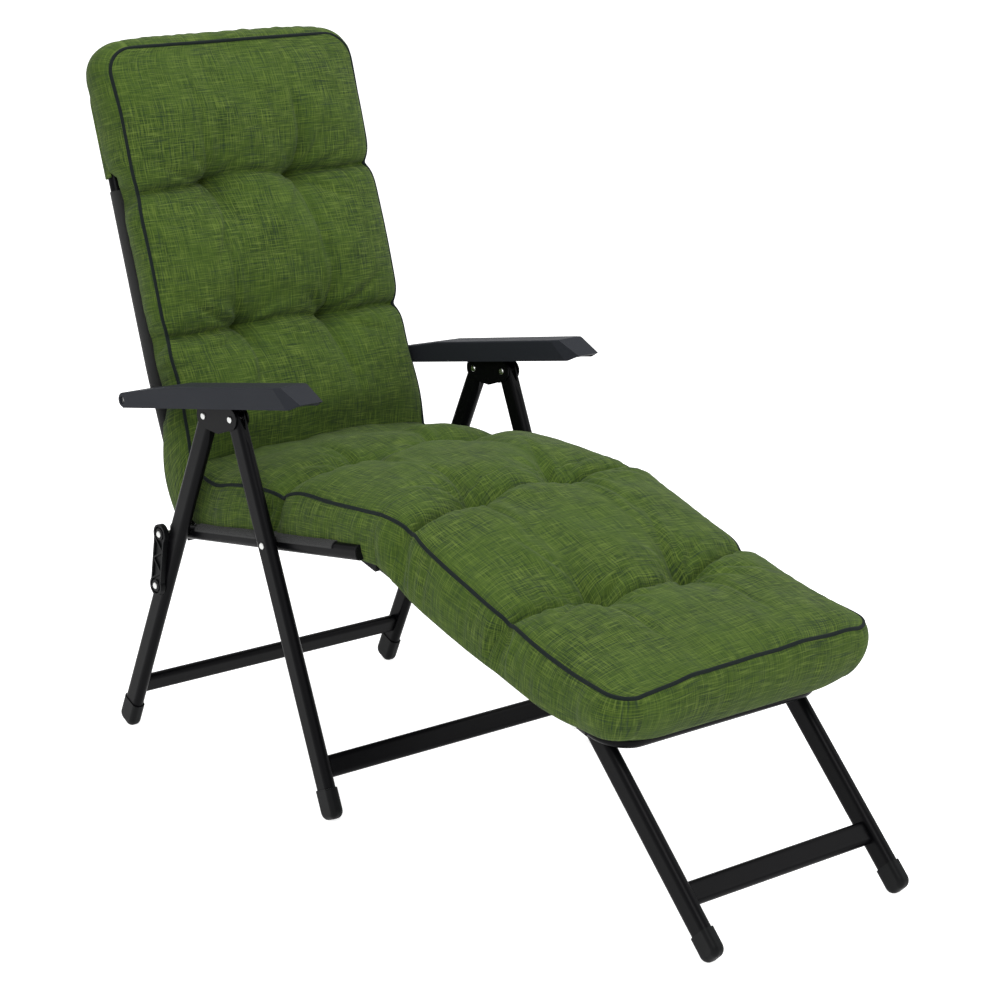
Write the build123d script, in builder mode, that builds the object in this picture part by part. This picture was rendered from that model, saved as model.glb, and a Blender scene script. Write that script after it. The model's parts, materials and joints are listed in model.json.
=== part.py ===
from build123d import *
from math import asin, atan2, cos, degrees, radians, sin, sqrt, tan
import os

os.makedirs("parts", exist_ok=True)

# A folding garden armchair with a hinged footrest and a tufted cushion.
# Millimetres and degrees. X runs across the chair, +Y towards the back and +Z up.
# Side-view places are vectors (y, z), and the ground is z = 0.

# Leg frames, seen from the side
rear_foot_reach = 290.0
front_foot_reach = 316.0
bracket_height = 601.5
bracket_reach = 4.8
bracket_span = 76.4
pivot_rise = 7.5
pin_ahead = 31.8
pin_above = 31.5
leg_side = 280.0
leg_depth = 38.0
leg_width = 20.0
leg_wall = 1.5
leg_neck = 16.0
leg_taper = 45.0
crossbar_depth = 36.0
crossbar_width = 16.0
crossbar_height = 78.6
cap_depth = 41.0
cap_width = 23.0
cap_length = 52.0
cap_round = 9.0
cap_toe_radius = 14.0
cap_wear = 1.0
cap_floor = 4.0

# Brackets at the tops of the legs
plate_thick = 2.5
plate_gap = 0.3
bracket_rear_radius = 19.0
bracket_front_radius = 17.0
bracket_pin_radius = 10.0
bracket_belly_radius = 18.0
bracket_belly_drop = 8.0
web_length = 9.0
web_back = 5.0
pin_radius = 4.0

# Rivets and washers
rivet_radius = 4.0
rivet_head_radius = 5.5
rivet_head_height = 2.2
running_gap = 0.05
fit_gap = 0.2

# Seat frame and its linkage to the rear legs
seat_pivot_drop = 207.0
link_pivot_drop = 352.2
link_length = 94.4
recline_behind = 24.6
link_end_radius = 17.0
link_waist = 29.0
link_thick = 9.0
link_gap = 1.0
link_rim = 3.5
link_pocket = 3.0
link_rib = 2.6
link_rib_count = 4
link_rib_angle = 38.0
link_hub_radius = 10.0
pin_end_gap = 0.4
rail_depth = 25.0
rail_width = 18.0
rail_wall = 1.5
rail_side = 257.0
rail_front = 216.0
rail_rear = 17.0
plug_length = 22.0
plug_lip = 3.0
seat_tube_radius = 9.0
seat_tube_wall = 1.5
front_tube_ahead = 196.0
front_tube_drop = 1.5
rear_tube_ahead = 62.0
sling_thick = 1.5
sling_gap = 0.25
seat_sling_front = 158.0
seat_sling_rear = 60.0
sling_notch_radius = 11.0

# Back frame
back_lean = 21.5
back_top_lean = 18.0
arm_post = 232.0
back_bend_above = 34.0
back_upper = 524.0
back_bend_radius = 600.0
back_corner_radius = 50.0
back_tube_radius = 10.0
back_tube_wall = 1.5
back_side = 237.0
back_tail = 17.0
back_cross_above = 118.0
back_cross_radius = 8.0
back_sling_low = 55.0
back_sling_high = 580.0

# Armrests, in a frame at their rear pivot: u runs forward and v up
arm_pin_level = -0.98
arm_bush_length = 6.0
arm_width = 57.0
arm_wall = 2.5
arm_roof = 3.0
arm_boss_radius = 12.5
arm_bottom = 13.0
arm_top = 22.0
arm_rear_slope = 136.0
arm_nose_top = 466.0
arm_nose_tip = 510.0
arm_nose_low = 486.0
arm_tip_level = 6.0
arm_taper_top = 446.0
arm_taper_low = 484.0
arm_tip_inset = 13.0
arm_edge_round = 3.0
arm_bolt_radius = 4.0
arm_bolt_recess = 6.0
arm_bolt_head_radius = 6.5
arm_rib_thick = 2.4
arm_rib_places = (150.0, 185.0, 440.0)

# Toothed racks under the armrests, and the lift that frees them
recline_range = 38.0
recline_notches = 8
arm_recline_turn = 12.3
latch_drop = 1.13
rack_thick = 12.0
rack_end = 9.0
rack_gap = 0.3
rack_mouth = 6.2

# Footrest
footrest_slope = 15.5
footrest_drop = 18.2
footrest_side = 211.0
footrest_tube_radius = 10.0
footrest_tube_wall = 1.4
footrest_start = 24.0
footrest_length = 580.0
footrest_corner_radius = 50.0
footrest_brace_ahead = 150.0
footrest_brace_radius = 8.0
clip_width = 26.0
clip_wall = 3.2
clip_tail = 22.0
clip_mouth = 13.0
bush_wall = 1.6
foot_leg_setback = 75.0
foot_leg_drop = 4.5
foot_leg_side = 189.0
foot_leg_angle = 43.5
foot_leg_neck = 13.0
foot_tab_depth = 22.0
footrest_sling_start = 62.0

# Cushion in three runs, with sewn channels between its fillings
cushion_half_width = 248.0
cushion_rim_in = 5.0
cushion_base_in = 10.0
cushion_gap = 0.3
mitre_gap = 0.5
boxing = 60.0
boxing_channel = 56.0
crown = 34.0
crown_edge = 18.0
crown_channel = 5.0
drawn_channel = 8.0
drawn_edge = 3.0
tuft_side = 86.0
tuft_radius = 42.0
tuft_eye = 5.0
tuft_depth = 32.0
tuft_flare = 12.0
back_crease_up = 94.0
back_crease_out = 58.5
back_crease_lean = 19.0
back_crease_thick = 68.0
back_low_places = (122.0, 210.0)
back_row_low = 319.0
back_mid_place = 445.0
back_row_high = 571.0
back_head_place = 695.0
back_cushion_top = 806.0
back_top_thick = 56.0
back_trim_steps = 16
seat_rear_places = (50.0, 150.0)
seat_rear_thick = 70.0
seat_row = 263.0
seat_front_places = (385.0, 508.0)
knee_ahead = 555.0
knee_up = 57.5
knee_thick = 52.0
leg_place = 135.0
leg_base = 24.0
foot_row = 221.0
foot_place = 416.0
foot_end = 612.0
foot_end_base = 26.0
foot_end_thick = 66.0

# Hood that slips over the top of the back frame
hood_thick = 2.2
hood_drop = 187.0
hood_gap = 0.4
hood_front = 11.6


def heading(angle):
    """The side-view direction at an angle above +Y."""
    return Vector(cos(radians(angle)), sin(radians(angle)))


def quarter(v):
    """A side-view vector turned a quarter turn, from +Y towards +Z."""
    return Vector(-v.Y, v.X)


def cap_toe(sole, up):
    """The centre of the rounded lower toe of the cap on a leg that stands at sole."""
    lower = quarter(up) if up.X < 0 else -quarter(up)
    across = cap_depth / 2 - cap_toe_radius
    height = cap_toe_radius - cap_wear - lower.Y * across
    return sole + up * (height / up.Y) + lower * across


# Side-view places, worked out from the sizes above
rear_rivet = Vector(bracket_reach, bracket_height)
front_pivot = Vector(bracket_reach - bracket_span, bracket_height + pivot_rise)
rear_sole = Vector(rear_foot_reach, 0)
front_sole = Vector(-front_foot_reach, 0)
rack_pin = rear_rivet + Vector(-pin_ahead, pin_above)
rear_up = (rear_rivet - rear_sole).normalized()
front_up = (front_pivot - front_sole).normalized()
rear_behind = -quarter(rear_up)
seat_pivot = front_pivot - front_up * seat_pivot_drop
link_pivot = rear_rivet - rear_up * link_pivot_drop
link_along = sqrt(link_length**2 - recline_behind**2)
recline_pivot = link_pivot + rear_up * link_along + rear_behind * recline_behind
seat_ahead = (seat_pivot - recline_pivot).normalized()
seat_up = -quarter(seat_ahead)
back_up = heading(90 - back_lean)
back_top_up = heading(90 - back_top_lean)
arm_pivot = recline_pivot + back_up * arm_post
back_bend = arm_pivot + back_up * back_bend_above
back_top = back_bend + back_top_up * back_upper
arm_to_pin = rack_pin - arm_pivot
pin_rise = degrees(asin(arm_pin_level / arm_to_pin.length))
arm_tilt = degrees(atan2(arm_to_pin.Y, -arm_to_pin.X)) - pin_rise
arm_ahead = heading(180 - arm_tilt)
arm_up = -quarter(arm_ahead)
arm_inner = back_side + back_tube_radius + arm_bush_length
arm_outer = arm_inner + arm_width
tilt_pivot = seat_pivot + seat_ahead * front_tube_ahead - seat_up * front_tube_drop
footrest_ahead = heading(180 + footrest_slope)
footrest_up = -quarter(footrest_ahead)
footrest_line = tilt_pivot - footrest_up * footrest_drop
foot_leg_ahead = footrest_length - foot_leg_setback
foot_leg_pivot = footrest_line + footrest_ahead * foot_leg_ahead - footrest_up * foot_leg_drop
foot_leg_up = heading(90 - foot_leg_angle)
foot_sole = foot_leg_pivot - foot_leg_up * (foot_leg_pivot.Y / foot_leg_up.Y)
hood_back = back_tube_radius + hood_gap + hood_thick
front_reach = (cap_toe(foot_sole, foot_leg_up) - foot_leg_up * cap_toe_radius).X - cap_toe_radius
back_reach = (back_top + back_top_up * hood_back - quarter(back_top_up) * hood_back).X
middle = (front_reach + back_reach) / 2


def side(x):
    """The side-view plane at a distance x across the chair."""
    return Plane(origin=(x, -middle, 0), x_dir=(0, 1, 0), z_dir=(1, 0, 0))


def place(v, x):
    """A side-view place as a point of the chair."""
    return Vector(x, v.X - middle, v.Y)


def section(v, direction, x=0.0):
    """A plane across a side-view direction, with its own y on that direction's upper side."""
    return Plane(origin=place(v, x), x_dir=(-1, 0, 0), z_dir=(0, direction.X, direction.Y))


def save(builder, name):
    builder.part.label = name
    export_step(builder.part, f"parts/{name}.step")


def bar_between(start, end, width):
    """A side-view rectangle round the line from start to end."""
    along = end - start
    angle = degrees(atan2(along.Y, along.X))
    with Locations((start + end) * 0.5):
        Rectangle(along.length, width, rotation=angle)


def disc(centre, radius, mode=Mode.ADD):
    with Locations(centre):
        Circle(radius, mode=mode)


def rivet(centre, low, high, head_low, head_high):
    """A rivet across the chair from x = low to x = high, with a domed head where asked."""
    with BuildSketch(side(low)) as shank:
        disc(centre, rivet_radius)
    extrude(shank.sketch, amount=high - low)
    for x, outward, wanted in ((low, -1, head_low), (high, 1, head_high)):
        if wanted:
            with BuildSketch(side(x)) as head:
                disc(centre, rivet_head_radius)
            extrude(head.sketch, amount=outward * rivet_head_height)
            ends = faces(Select.LAST).sort_by(Axis.X)
            rim = ends[-1] if outward > 0 else ends[0]
            chamfer(rim.edges(), rivet_head_height / 2)


def bore(centre, radius, x, length):
    """A hole across the chair, cut to both sides of x."""
    with BuildSketch(side(x)) as hole:
        disc(centre, radius)
    extrude(hole.sketch, amount=length, both=True, mode=Mode.SUBTRACT)


def oval_solid(start, end, x, depth, width, mode=Mode.ADD):
    """A solid oval bar along a side-view line."""
    line = end - start
    with BuildSketch(section(start, line.normalized(), x)) as outline:
        SlotOverall(depth, width, rotation=90)
    extrude(outline.sketch, amount=line.length, mode=mode)


def oval_tube(start, end, x, depth, width, wall):
    """A hollow oval tube along a side-view line."""
    line = end - start
    with BuildSketch(section(start, line.normalized(), x)) as outline:
        SlotOverall(depth, width, rotation=90)
        SlotOverall(depth - 2 * wall, width - 2 * wall, rotation=90, mode=Mode.SUBTRACT)
    extrude(outline.sketch, amount=line.length)


def cross_tube(centre, half, radius, wall):
    """A round tube across the chair."""
    with BuildSketch(side(-half)) as ring:
        disc(centre, radius)
        disc(centre, radius - wall, mode=Mode.SUBTRACT)
    extrude(ring.sketch, amount=2 * half)


def cope(centre, direction, radius, x):
    """Takes the shape of a round tube along a direction out of what meets it at both sides."""
    reach = direction * radius * 2
    for sign in (1, -1):
        with BuildSketch(section(centre - reach, direction, sign * x)) as tube:
            Circle(radius)
        extrude(tube.sketch, amount=reach.length * 2, mode=Mode.SUBTRACT)


both_sides = (("left", 1), ("right", -1))
leg_inner = leg_side - leg_width / 2
leg_outer = leg_side + leg_width / 2
foot_leg_inner = foot_leg_side - leg_width / 2
foot_leg_outer = foot_leg_side + leg_width / 2


def leg_bottom(sole, up):
    """Where a leg tube ends inside its cap."""
    return sole + up * ((cap_floor + leg_depth / 2) / up.Y)


def leg(sole, up, pivot, x, neck):
    """A hollow oval leg, narrowed to a round end at its top pivot."""
    foot = leg_bottom(sole, up)
    oval_tube(foot, pivot + up * neck, x, leg_depth, leg_width, leg_wall)
    across = quarter(up)
    past = foot - up * leg_depth
    shoulder = pivot - up * leg_taper
    with BuildSketch(side(x)) as outline:
        Polygon(
            past + across * leg_depth,
            shoulder + across * leg_depth,
            shoulder + across * (leg_depth / 2),
            pivot + across * neck,
            pivot - across * neck,
            shoulder - across * (leg_depth / 2),
            shoulder - across * leg_depth,
            past - across * leg_depth,
            align=None,
        )
        disc(pivot, neck)
    extrude(outline.sketch, amount=leg_width, both=True, mode=Mode.INTERSECT)


def crossbar(sole, up, inner):
    """A hollow oval bar between two legs, butted on their flat inner faces."""
    centre = sole + up * (crossbar_height / up.Y)
    lean = degrees(atan2(up.Y, up.X))
    inside = 2 * leg_wall
    with BuildSketch(side(-inner)) as outline:
        with Locations(centre):
            SlotOverall(crossbar_depth, crossbar_width, rotation=lean)
            SlotOverall(crossbar_depth - inside, crossbar_width - inside, rotation=lean, mode=Mode.SUBTRACT)
    extrude(outline.sketch, amount=2 * inner)


def foot_cap(sole, up, x):
    """An oval sleeve over a leg's end, with rounded toes, worn flat where it stands."""
    toe = cap_toe(sole, up)
    end = sole + up * ((toe - sole).dot(up) - cap_toe_radius)
    top = sole + up * cap_length
    past = top + up * cap_depth
    with BuildSketch(side(x)) as outline:
        bar_between(end, past, cap_depth)
        toes = vertices().sort_by(lambda v: (Vector(v.X, v.Y) - end).dot(up))[:2]
        fillet(toes, cap_toe_radius)
    extrude(outline.sketch, amount=cap_width / 2, both=True)
    fillet(edges().filter_by(Axis.X, reverse=True), cap_round)
    split(bisect_by=Plane.XY, keep=Keep.TOP)
    split(bisect_by=section(top, up, x), keep=Keep.BOTTOM)
    hole = leg_depth + 2 * fit_gap, leg_width + 2 * fit_gap
    oval_solid(leg_bottom(sole, up) - up * fit_gap, past, x, *hole, mode=Mode.SUBTRACT)


# Rear leg frame
for label, sign in both_sides:
    # An oval steel tube from the bracket to the foot
    with BuildPart() as rear_leg:
        leg(rear_sole, rear_up, rear_rivet, sign * leg_side, leg_neck)
        bore(rear_rivet, rivet_radius + running_gap, sign * leg_side, leg_width)
        bore(link_pivot, rivet_radius + running_gap, sign * leg_side, leg_width)
    save(rear_leg, f"rear_leg_{label}")

    with BuildPart() as rear_foot_cap:
        foot_cap(rear_sole, rear_up, sign * leg_side)
    save(rear_foot_cap, f"rear_foot_cap_{label}")

with BuildPart() as rear_crossbar:
    crossbar(rear_sole, rear_up, leg_inner)
save(rear_crossbar, "rear_crossbar")

# Brackets: two pressed plates that hold both legs, joined by a short web on top
belly = (rear_rivet + front_pivot) * 0.5 - Vector(0, bracket_belly_drop)
plate_inner = leg_inner - plate_gap - plate_thick
plate_outer = leg_outer + plate_gap
for label, sign in both_sides:
    with BuildPart() as leg_bracket:
        for x in (plate_inner, plate_outer):
            with BuildSketch(side(sign * (x + plate_thick / 2))) as plate:
                disc(rear_rivet, bracket_rear_radius)
                disc(front_pivot, bracket_front_radius)
                disc(rack_pin, bracket_pin_radius)
                disc(belly, bracket_belly_radius)
                make_hull()
            extrude(amount=plate_thick / 2, both=True)
        outward = -quarter((rack_pin - rear_rivet).normalized())
        web_rear = rear_rivet + outward * (bracket_rear_radius - plate_thick / 2)
        web_front = rack_pin + outward * (bracket_pin_radius - plate_thick / 2)
        slope = (web_front - web_rear).normalized()
        web_rear = web_rear - slope * web_back
        with BuildSketch(side(sign * leg_side)):
            bar_between(web_rear, web_rear + slope * web_length, plate_thick)
        extrude(amount=(plate_outer - plate_inner) / 2, both=True)
        for centre in (rear_rivet, front_pivot, rack_pin):
            bore(centre, rivet_radius + running_gap, sign * leg_side, leg_width)
    save(leg_bracket, f"leg_bracket_{label}")

bracket_low = plate_inner
bracket_high = plate_outer + plate_thick
for name, centre in (("bracket_rivets", rear_rivet), ("leg_pivot_rivets", front_pivot)):
    with BuildPart() as rivets:
        rivet(centre, bracket_low, bracket_high, True, True)
        rivet(centre, -bracket_high, -bracket_low, True, True)
    save(rivets, name)

with BuildPart() as rack_pins:
    for sign in (1, -1):
        with BuildSketch(side(sign * leg_side)):
            disc(rack_pin, pin_radius)
        extrude(amount=(bracket_high - bracket_low) / 2, both=True)
save(rack_pins, "rack_pins")

link_inner = leg_outer + link_gap
link_outer = link_inner + link_thick
with BuildPart() as link_rivets:
    rivet(link_pivot, leg_inner, link_outer, True, True)
    rivet(link_pivot, -link_outer, -leg_inner, True, True)
save(link_rivets, "link_rivets")

# Front leg frame
for label, sign in both_sides:
    with BuildPart() as front_leg:
        leg(front_sole, front_up, front_pivot, sign * leg_side, leg_neck)
        bore(front_pivot, rivet_radius + running_gap, sign * leg_side, leg_width)
        bore(seat_pivot, rivet_radius + running_gap, sign * leg_side, leg_width)
    save(front_leg, f"front_leg_{label}")

    with BuildPart() as front_foot_cap:
        foot_cap(front_sole, front_up, sign * leg_side)
    save(front_foot_cap, f"front_foot_cap_{label}")

with BuildPart() as front_crossbar:
    crossbar(front_sole, front_up, leg_inner)
save(front_crossbar, "front_crossbar")

rail_inner = rail_side - rail_width / 2
rail_outer = rail_side + rail_width / 2
with BuildPart() as seat_rivets:
    rivet(seat_pivot, rail_inner, leg_outer, True, True)
    rivet(seat_pivot, -leg_outer, -rail_inner, True, True)
save(seat_rivets, "seat_rivets")

with BuildPart() as seat_washers:
    for sign in (1, -1):
        with BuildSketch(side(sign * (leg_inner + rail_outer) / 2)):
            disc(seat_pivot, rivet_head_radius + running_gap)
            disc(seat_pivot, rivet_radius + running_gap, mode=Mode.SUBTRACT)
        extrude(amount=(leg_inner - rail_outer) / 2 - fit_gap, both=True)
save(seat_washers, "seat_washers")

# Seat frame
rail_tail = recline_pivot - seat_ahead * rail_rear
rail_nose = seat_pivot + seat_ahead * rail_front
for label, sign in both_sides:
    with BuildPart() as seat_rail:
        oval_tube(rail_tail, rail_nose, sign * rail_side, rail_depth, rail_width, rail_wall)
        bore(seat_pivot, rivet_radius + running_gap, sign * rail_side, rail_width)
        bore(recline_pivot, rivet_radius + running_gap, sign * rail_side, rail_width)
    save(seat_rail, f"seat_rail_{label}")

# Moulded plugs close the rails at both ends
plug_fit = rail_wall + fit_gap
for name, start, outward in (
    ("seat_front_plugs", rail_nose, seat_ahead),
    ("seat_rear_plugs", rail_tail, -seat_ahead),
):
    with BuildPart() as rail_plugs:
        for sign in (1, -1):
            x = sign * rail_side
            inset = 2 * plug_fit
            if outward.dot(seat_ahead) > 0:
                spigot = start - outward * plug_length
            else:
                spigot = start - outward * (rail_rear - rivet_head_radius)
            oval_solid(spigot, start, x, rail_depth - inset, rail_width - inset)
            oval_solid(start, start + outward * plug_lip, x, rail_depth, rail_width)
            tip = faces(Select.LAST).sort_by(Axis((0, 0, 0), (0, outward.X, outward.Y)))[-1]
            fillet(tip.edges(), plug_lip / 2)
    save(rail_plugs, name)

with BuildPart() as seat_front_tube:
    cross_tube(tilt_pivot, rail_inner, seat_tube_radius, seat_tube_wall)
save(seat_front_tube, "seat_front_tube")

rear_tube = recline_pivot + seat_ahead * rear_tube_ahead
with BuildPart() as seat_rear_tube:
    cross_tube(rear_tube, rail_inner, seat_tube_radius, seat_tube_wall)
save(seat_rear_tube, "seat_rear_tube")


def sling_section(half, radius, lift, half_sleeve):
    """A fabric strip over two tubes, wrapped round their outer sides."""
    inner = radius + sling_gap
    outer = inner + sling_thick
    for sign in (1, -1):
        disc(Vector(sign * half, lift), outer)
    for sign in (1, -1):
        disc(Vector(sign * half, lift), inner, mode=Mode.SUBTRACT)
    with Locations((0, lift)):
        Rectangle(2 * half, 2 * outer, mode=Mode.SUBTRACT)
    if not half_sleeve:
        with Locations((0, lift - outer / 2)):
            Rectangle(2 * half + 2 * outer, outer, mode=Mode.SUBTRACT)
    with Locations((0, lift + inner + sling_thick / 2)):
        Rectangle(2 * half, sling_thick)


# The seat's sling, a fabric strip laid over the rails' tops
with BuildPart() as seat_sling:
    start = seat_pivot + seat_ahead * seat_sling_front
    end = recline_pivot + seat_ahead * seat_sling_rear
    with BuildSketch(section(start, -seat_ahead)):
        sling_section(rail_side, rail_width / 2, (rail_depth - rail_width) / 2, False)
    extrude(amount=(end - start).length)
    bore(seat_pivot, sling_notch_radius, rail_outer, rail_width / 2)
    bore(seat_pivot, sling_notch_radius, -rail_outer, rail_width / 2)
save(seat_sling, "seat_sling")

# Links from the rear legs to the recline pivot: ribbed mouldings with a hub at each end
link_line = recline_pivot - link_pivot
link_angle = degrees(atan2(link_line.Y, link_line.X))
link_middle = (recline_pivot + link_pivot) * 0.5
for label, sign in both_sides:
    with BuildPart() as link:
        low, high = sorted((sign * link_inner, sign * link_outer))
        face_x = sign * link_outer
        with BuildSketch(side(low)):
            bar_between(link_pivot, recline_pivot, link_waist)
            disc(link_pivot, link_end_radius)
            disc(recline_pivot, link_end_radius)
        extrude(amount=high - low)
        with BuildSketch(side(face_x)):
            bar_between(link_pivot, recline_pivot, link_waist - 2 * link_rim)
            disc(link_pivot, link_end_radius - link_rim)
            disc(recline_pivot, link_end_radius - link_rim)
            disc(link_pivot, link_hub_radius, mode=Mode.SUBTRACT)
            disc(recline_pivot, link_hub_radius, mode=Mode.SUBTRACT)
            for i in range(link_rib_count):
                share = (i + 1) / (link_rib_count + 1)
                turn = link_rib_angle if i % 2 else -link_rib_angle
                with Locations(link_pivot + link_line * share):
                    Rectangle(link_waist, link_rib, rotation=link_angle + 90 + turn, mode=Mode.SUBTRACT)
        extrude(amount=-sign * link_pocket, mode=Mode.SUBTRACT)
        for centre in (link_pivot, recline_pivot):
            bore(centre, rivet_radius + running_gap, face_x, link_thick)
    save(link, f"link_{label}")

# Short rivets that close the links' top hubs, just clear of the recline pins
with BuildPart() as link_top_rivets:
    rivet(recline_pivot, link_inner, link_outer, False, True)
    rivet(recline_pivot, -link_outer, -link_inner, True, False)
save(link_top_rivets, "link_top_rivets")

# Recline pins: from inside the back tubes, through the rails, to the links
back_inner = back_side - back_tube_radius
back_outer = back_side + back_tube_radius
pin_end = link_inner - pin_end_gap
with BuildPart() as recline_pins:
    rivet(recline_pivot, back_inner, pin_end, True, False)
    rivet(recline_pivot, -pin_end, -back_inner, False, True)
save(recline_pins, "recline_pins")

# Back frame: two bent tubes that turn in at the top, and a top tube between them
back_start = recline_pivot - back_up * back_tail
for label, sign in both_sides:
    with BuildPart() as back_tube:
        with BuildLine():
            FilletPolyline(
                place(back_start, sign * back_side),
                place(back_bend, sign * back_side),
                place(back_top, sign * back_side),
                place(back_top, sign * (back_side - 2 * back_corner_radius)),
                radius=[back_bend_radius, back_corner_radius],
            )
        with BuildSketch(section(back_start, back_up, sign * back_side)):
            Circle(back_tube_radius)
            Circle(back_tube_radius - back_tube_wall, mode=Mode.SUBTRACT)
        sweep()
        bore(recline_pivot, rivet_radius + running_gap, sign * back_side, back_tube_radius)
        bore(arm_pivot, arm_bolt_radius + running_gap, sign * back_side, back_tube_radius)
    save(back_tube, f"back_tube_{label}")

with BuildPart() as back_top_tube:
    cross_tube(back_top, back_side - 2 * back_corner_radius, back_tube_radius, back_tube_wall)
save(back_top_tube, "back_top_tube")

back_cross = recline_pivot + back_up * back_cross_above
with BuildPart() as back_cross_tube:
    cross_tube(back_cross, back_side, back_cross_radius, back_tube_wall)
    cope(back_cross, back_up, back_tube_radius, back_side)
save(back_cross_tube, "back_cross_tube")

with BuildPart() as back_tube_plugs:
    for sign in (1, -1):
        with BuildSketch(section(back_start, -back_up, sign * back_side)):
            Circle(back_tube_radius)
        extrude(amount=plug_lip)
        tip = faces(Select.LAST).sort_by(Axis((0, 0, 0), (0, -back_up.X, -back_up.Y)))[-1]
        fillet(tip.edges(), plug_lip / 2)
        with BuildSketch(section(back_start, back_up, sign * back_side)):
            Circle(back_tube_radius - back_tube_wall - fit_gap)
        extrude(amount=back_tail - rivet_head_radius)
save(back_tube_plugs, "back_tube_plugs")

# The back's sling follows the bend of the tubes
with BuildPart() as back_sling:
    low = recline_pivot + back_up * back_sling_low
    high = back_bend + back_top_up * (back_sling_high - arm_post - back_bend_above)
    with BuildLine():
        FilletPolyline(
            place(low, 0), place(back_bend, 0), place(high, 0), radius=back_bend_radius
        )
    with BuildSketch(section(low, back_up)):
        sling_section(back_side, back_tube_radius, 0, True)
    sweep()
    bore(arm_pivot, sling_notch_radius, back_outer, back_tube_radius)
    bore(arm_pivot, sling_notch_radius, -back_outer, back_tube_radius)
save(back_sling, "back_sling")


# Armrests
def arm(u, v):
    """A place in the armrest's own frame, as a side-view vector."""
    return arm_pivot + arm_ahead * u + arm_up * v


def arm_profile(inset, roof, bottom):
    """The armrest's side outline, drawn inwards by a wall."""
    Polygon(
        arm(0, -bottom),
        arm(arm_nose_low - inset, -bottom),
        arm(arm_nose_tip - inset, -arm_tip_level),
        arm(arm_nose_top - inset, arm_top - roof),
        arm(arm_rear_slope, arm_top - roof),
        arm(0, arm_boss_radius - inset),
        align=None,
    )
    disc(arm_pivot, arm_boss_radius - inset)


def arm_plan(inset, high, low):
    """The armrest from above: straight sides that narrow to the nose, along a leaning front edge."""
    inner = arm_inner + inset
    outer = arm_outer - inset
    tail = 2 * arm_boss_radius
    tip = arm_nose_tip + arm_boss_radius
    ends = []
    for level, taper in ((high, arm_taper_top), (low, arm_taper_low)):
        draw = arm_tip_inset * (tip - taper) / (arm_nose_tip - arm_taper_top)
        plane = Plane(origin=place(arm(0, level), 0), x_dir=(1, 0, 0), z_dir=(0, arm_up.X, arm_up.Y))
        with BuildSketch(plane) as outline:
            Polygon(
                (inner, tail),
                (outer, tail),
                (outer, -taper),
                (outer - draw, -tip),
                (inner + draw, -tip),
                (inner, -taper),
                align=None,
            )
        ends.append(outline.sketch.faces()[0])
    loft(ends, ruled=True)


with BuildPart() as arm_hollow:
    arm_plan(arm_wall, arm_top, -arm_bottom - arm_roof)
    with BuildSketch(side(arm_inner)):
        arm_profile(arm_wall, arm_roof, arm_bottom + arm_roof)
    extrude(amount=arm_outer - arm_inner, mode=Mode.INTERSECT)

with BuildPart() as armrest_left:
    arm_plan(0, arm_top + arm_roof, -arm_bottom - arm_roof)
    with BuildSketch(side(arm_inner)):
        arm_profile(0, 0, arm_bottom)
    extrude(amount=arm_outer - arm_inner, mode=Mode.INTERSECT)
    upper = edges().filter_by(
        lambda e: (e.center() - place(arm_pivot, 0)).dot(Vector(0, arm_up.X, arm_up.Y)) > arm_top * 0.5
    )
    fillet(upper, arm_edge_round)
    add(arm_hollow.part, mode=Mode.SUBTRACT)
    with BuildSketch(side(arm_inner)):
        disc(arm_pivot, arm_boss_radius - arm_wall)
    extrude(amount=arm_outer - arm_inner)
    for u in arm_rib_places:
        with BuildSketch(side(arm_inner)):
            bar_between(arm(u, arm_tip_level), arm(u, arm_top - arm_roof / 2), arm_rib_thick)
        extrude(amount=arm_outer - arm_inner)
    bore(arm_pivot, arm_bolt_radius + running_gap, arm_inner, arm_outer)
    with BuildSketch(side(arm_outer)):
        disc(arm_pivot, arm_bolt_head_radius + fit_gap)
    extrude(amount=-arm_bolt_recess, mode=Mode.SUBTRACT)
save(armrest_left, "armrest_left")

with BuildPart() as armrest_right:
    mirror(armrest_left.part, about=Plane.YZ)
save(armrest_right, "armrest_right")


def pin_seen_from_arm(recline):
    """Where the rack pin stands in the armrest's frame when the back is let down by an angle."""
    pivot = recline_pivot + (arm_pivot - recline_pivot).rotate(Axis.Z, -recline)
    turn = arm_recline_turn * recline / recline_range
    seen = (rack_pin - pivot).rotate(Axis.Z, turn)
    return Vector(seen.dot(arm_ahead), seen.dot(arm_up))


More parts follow.
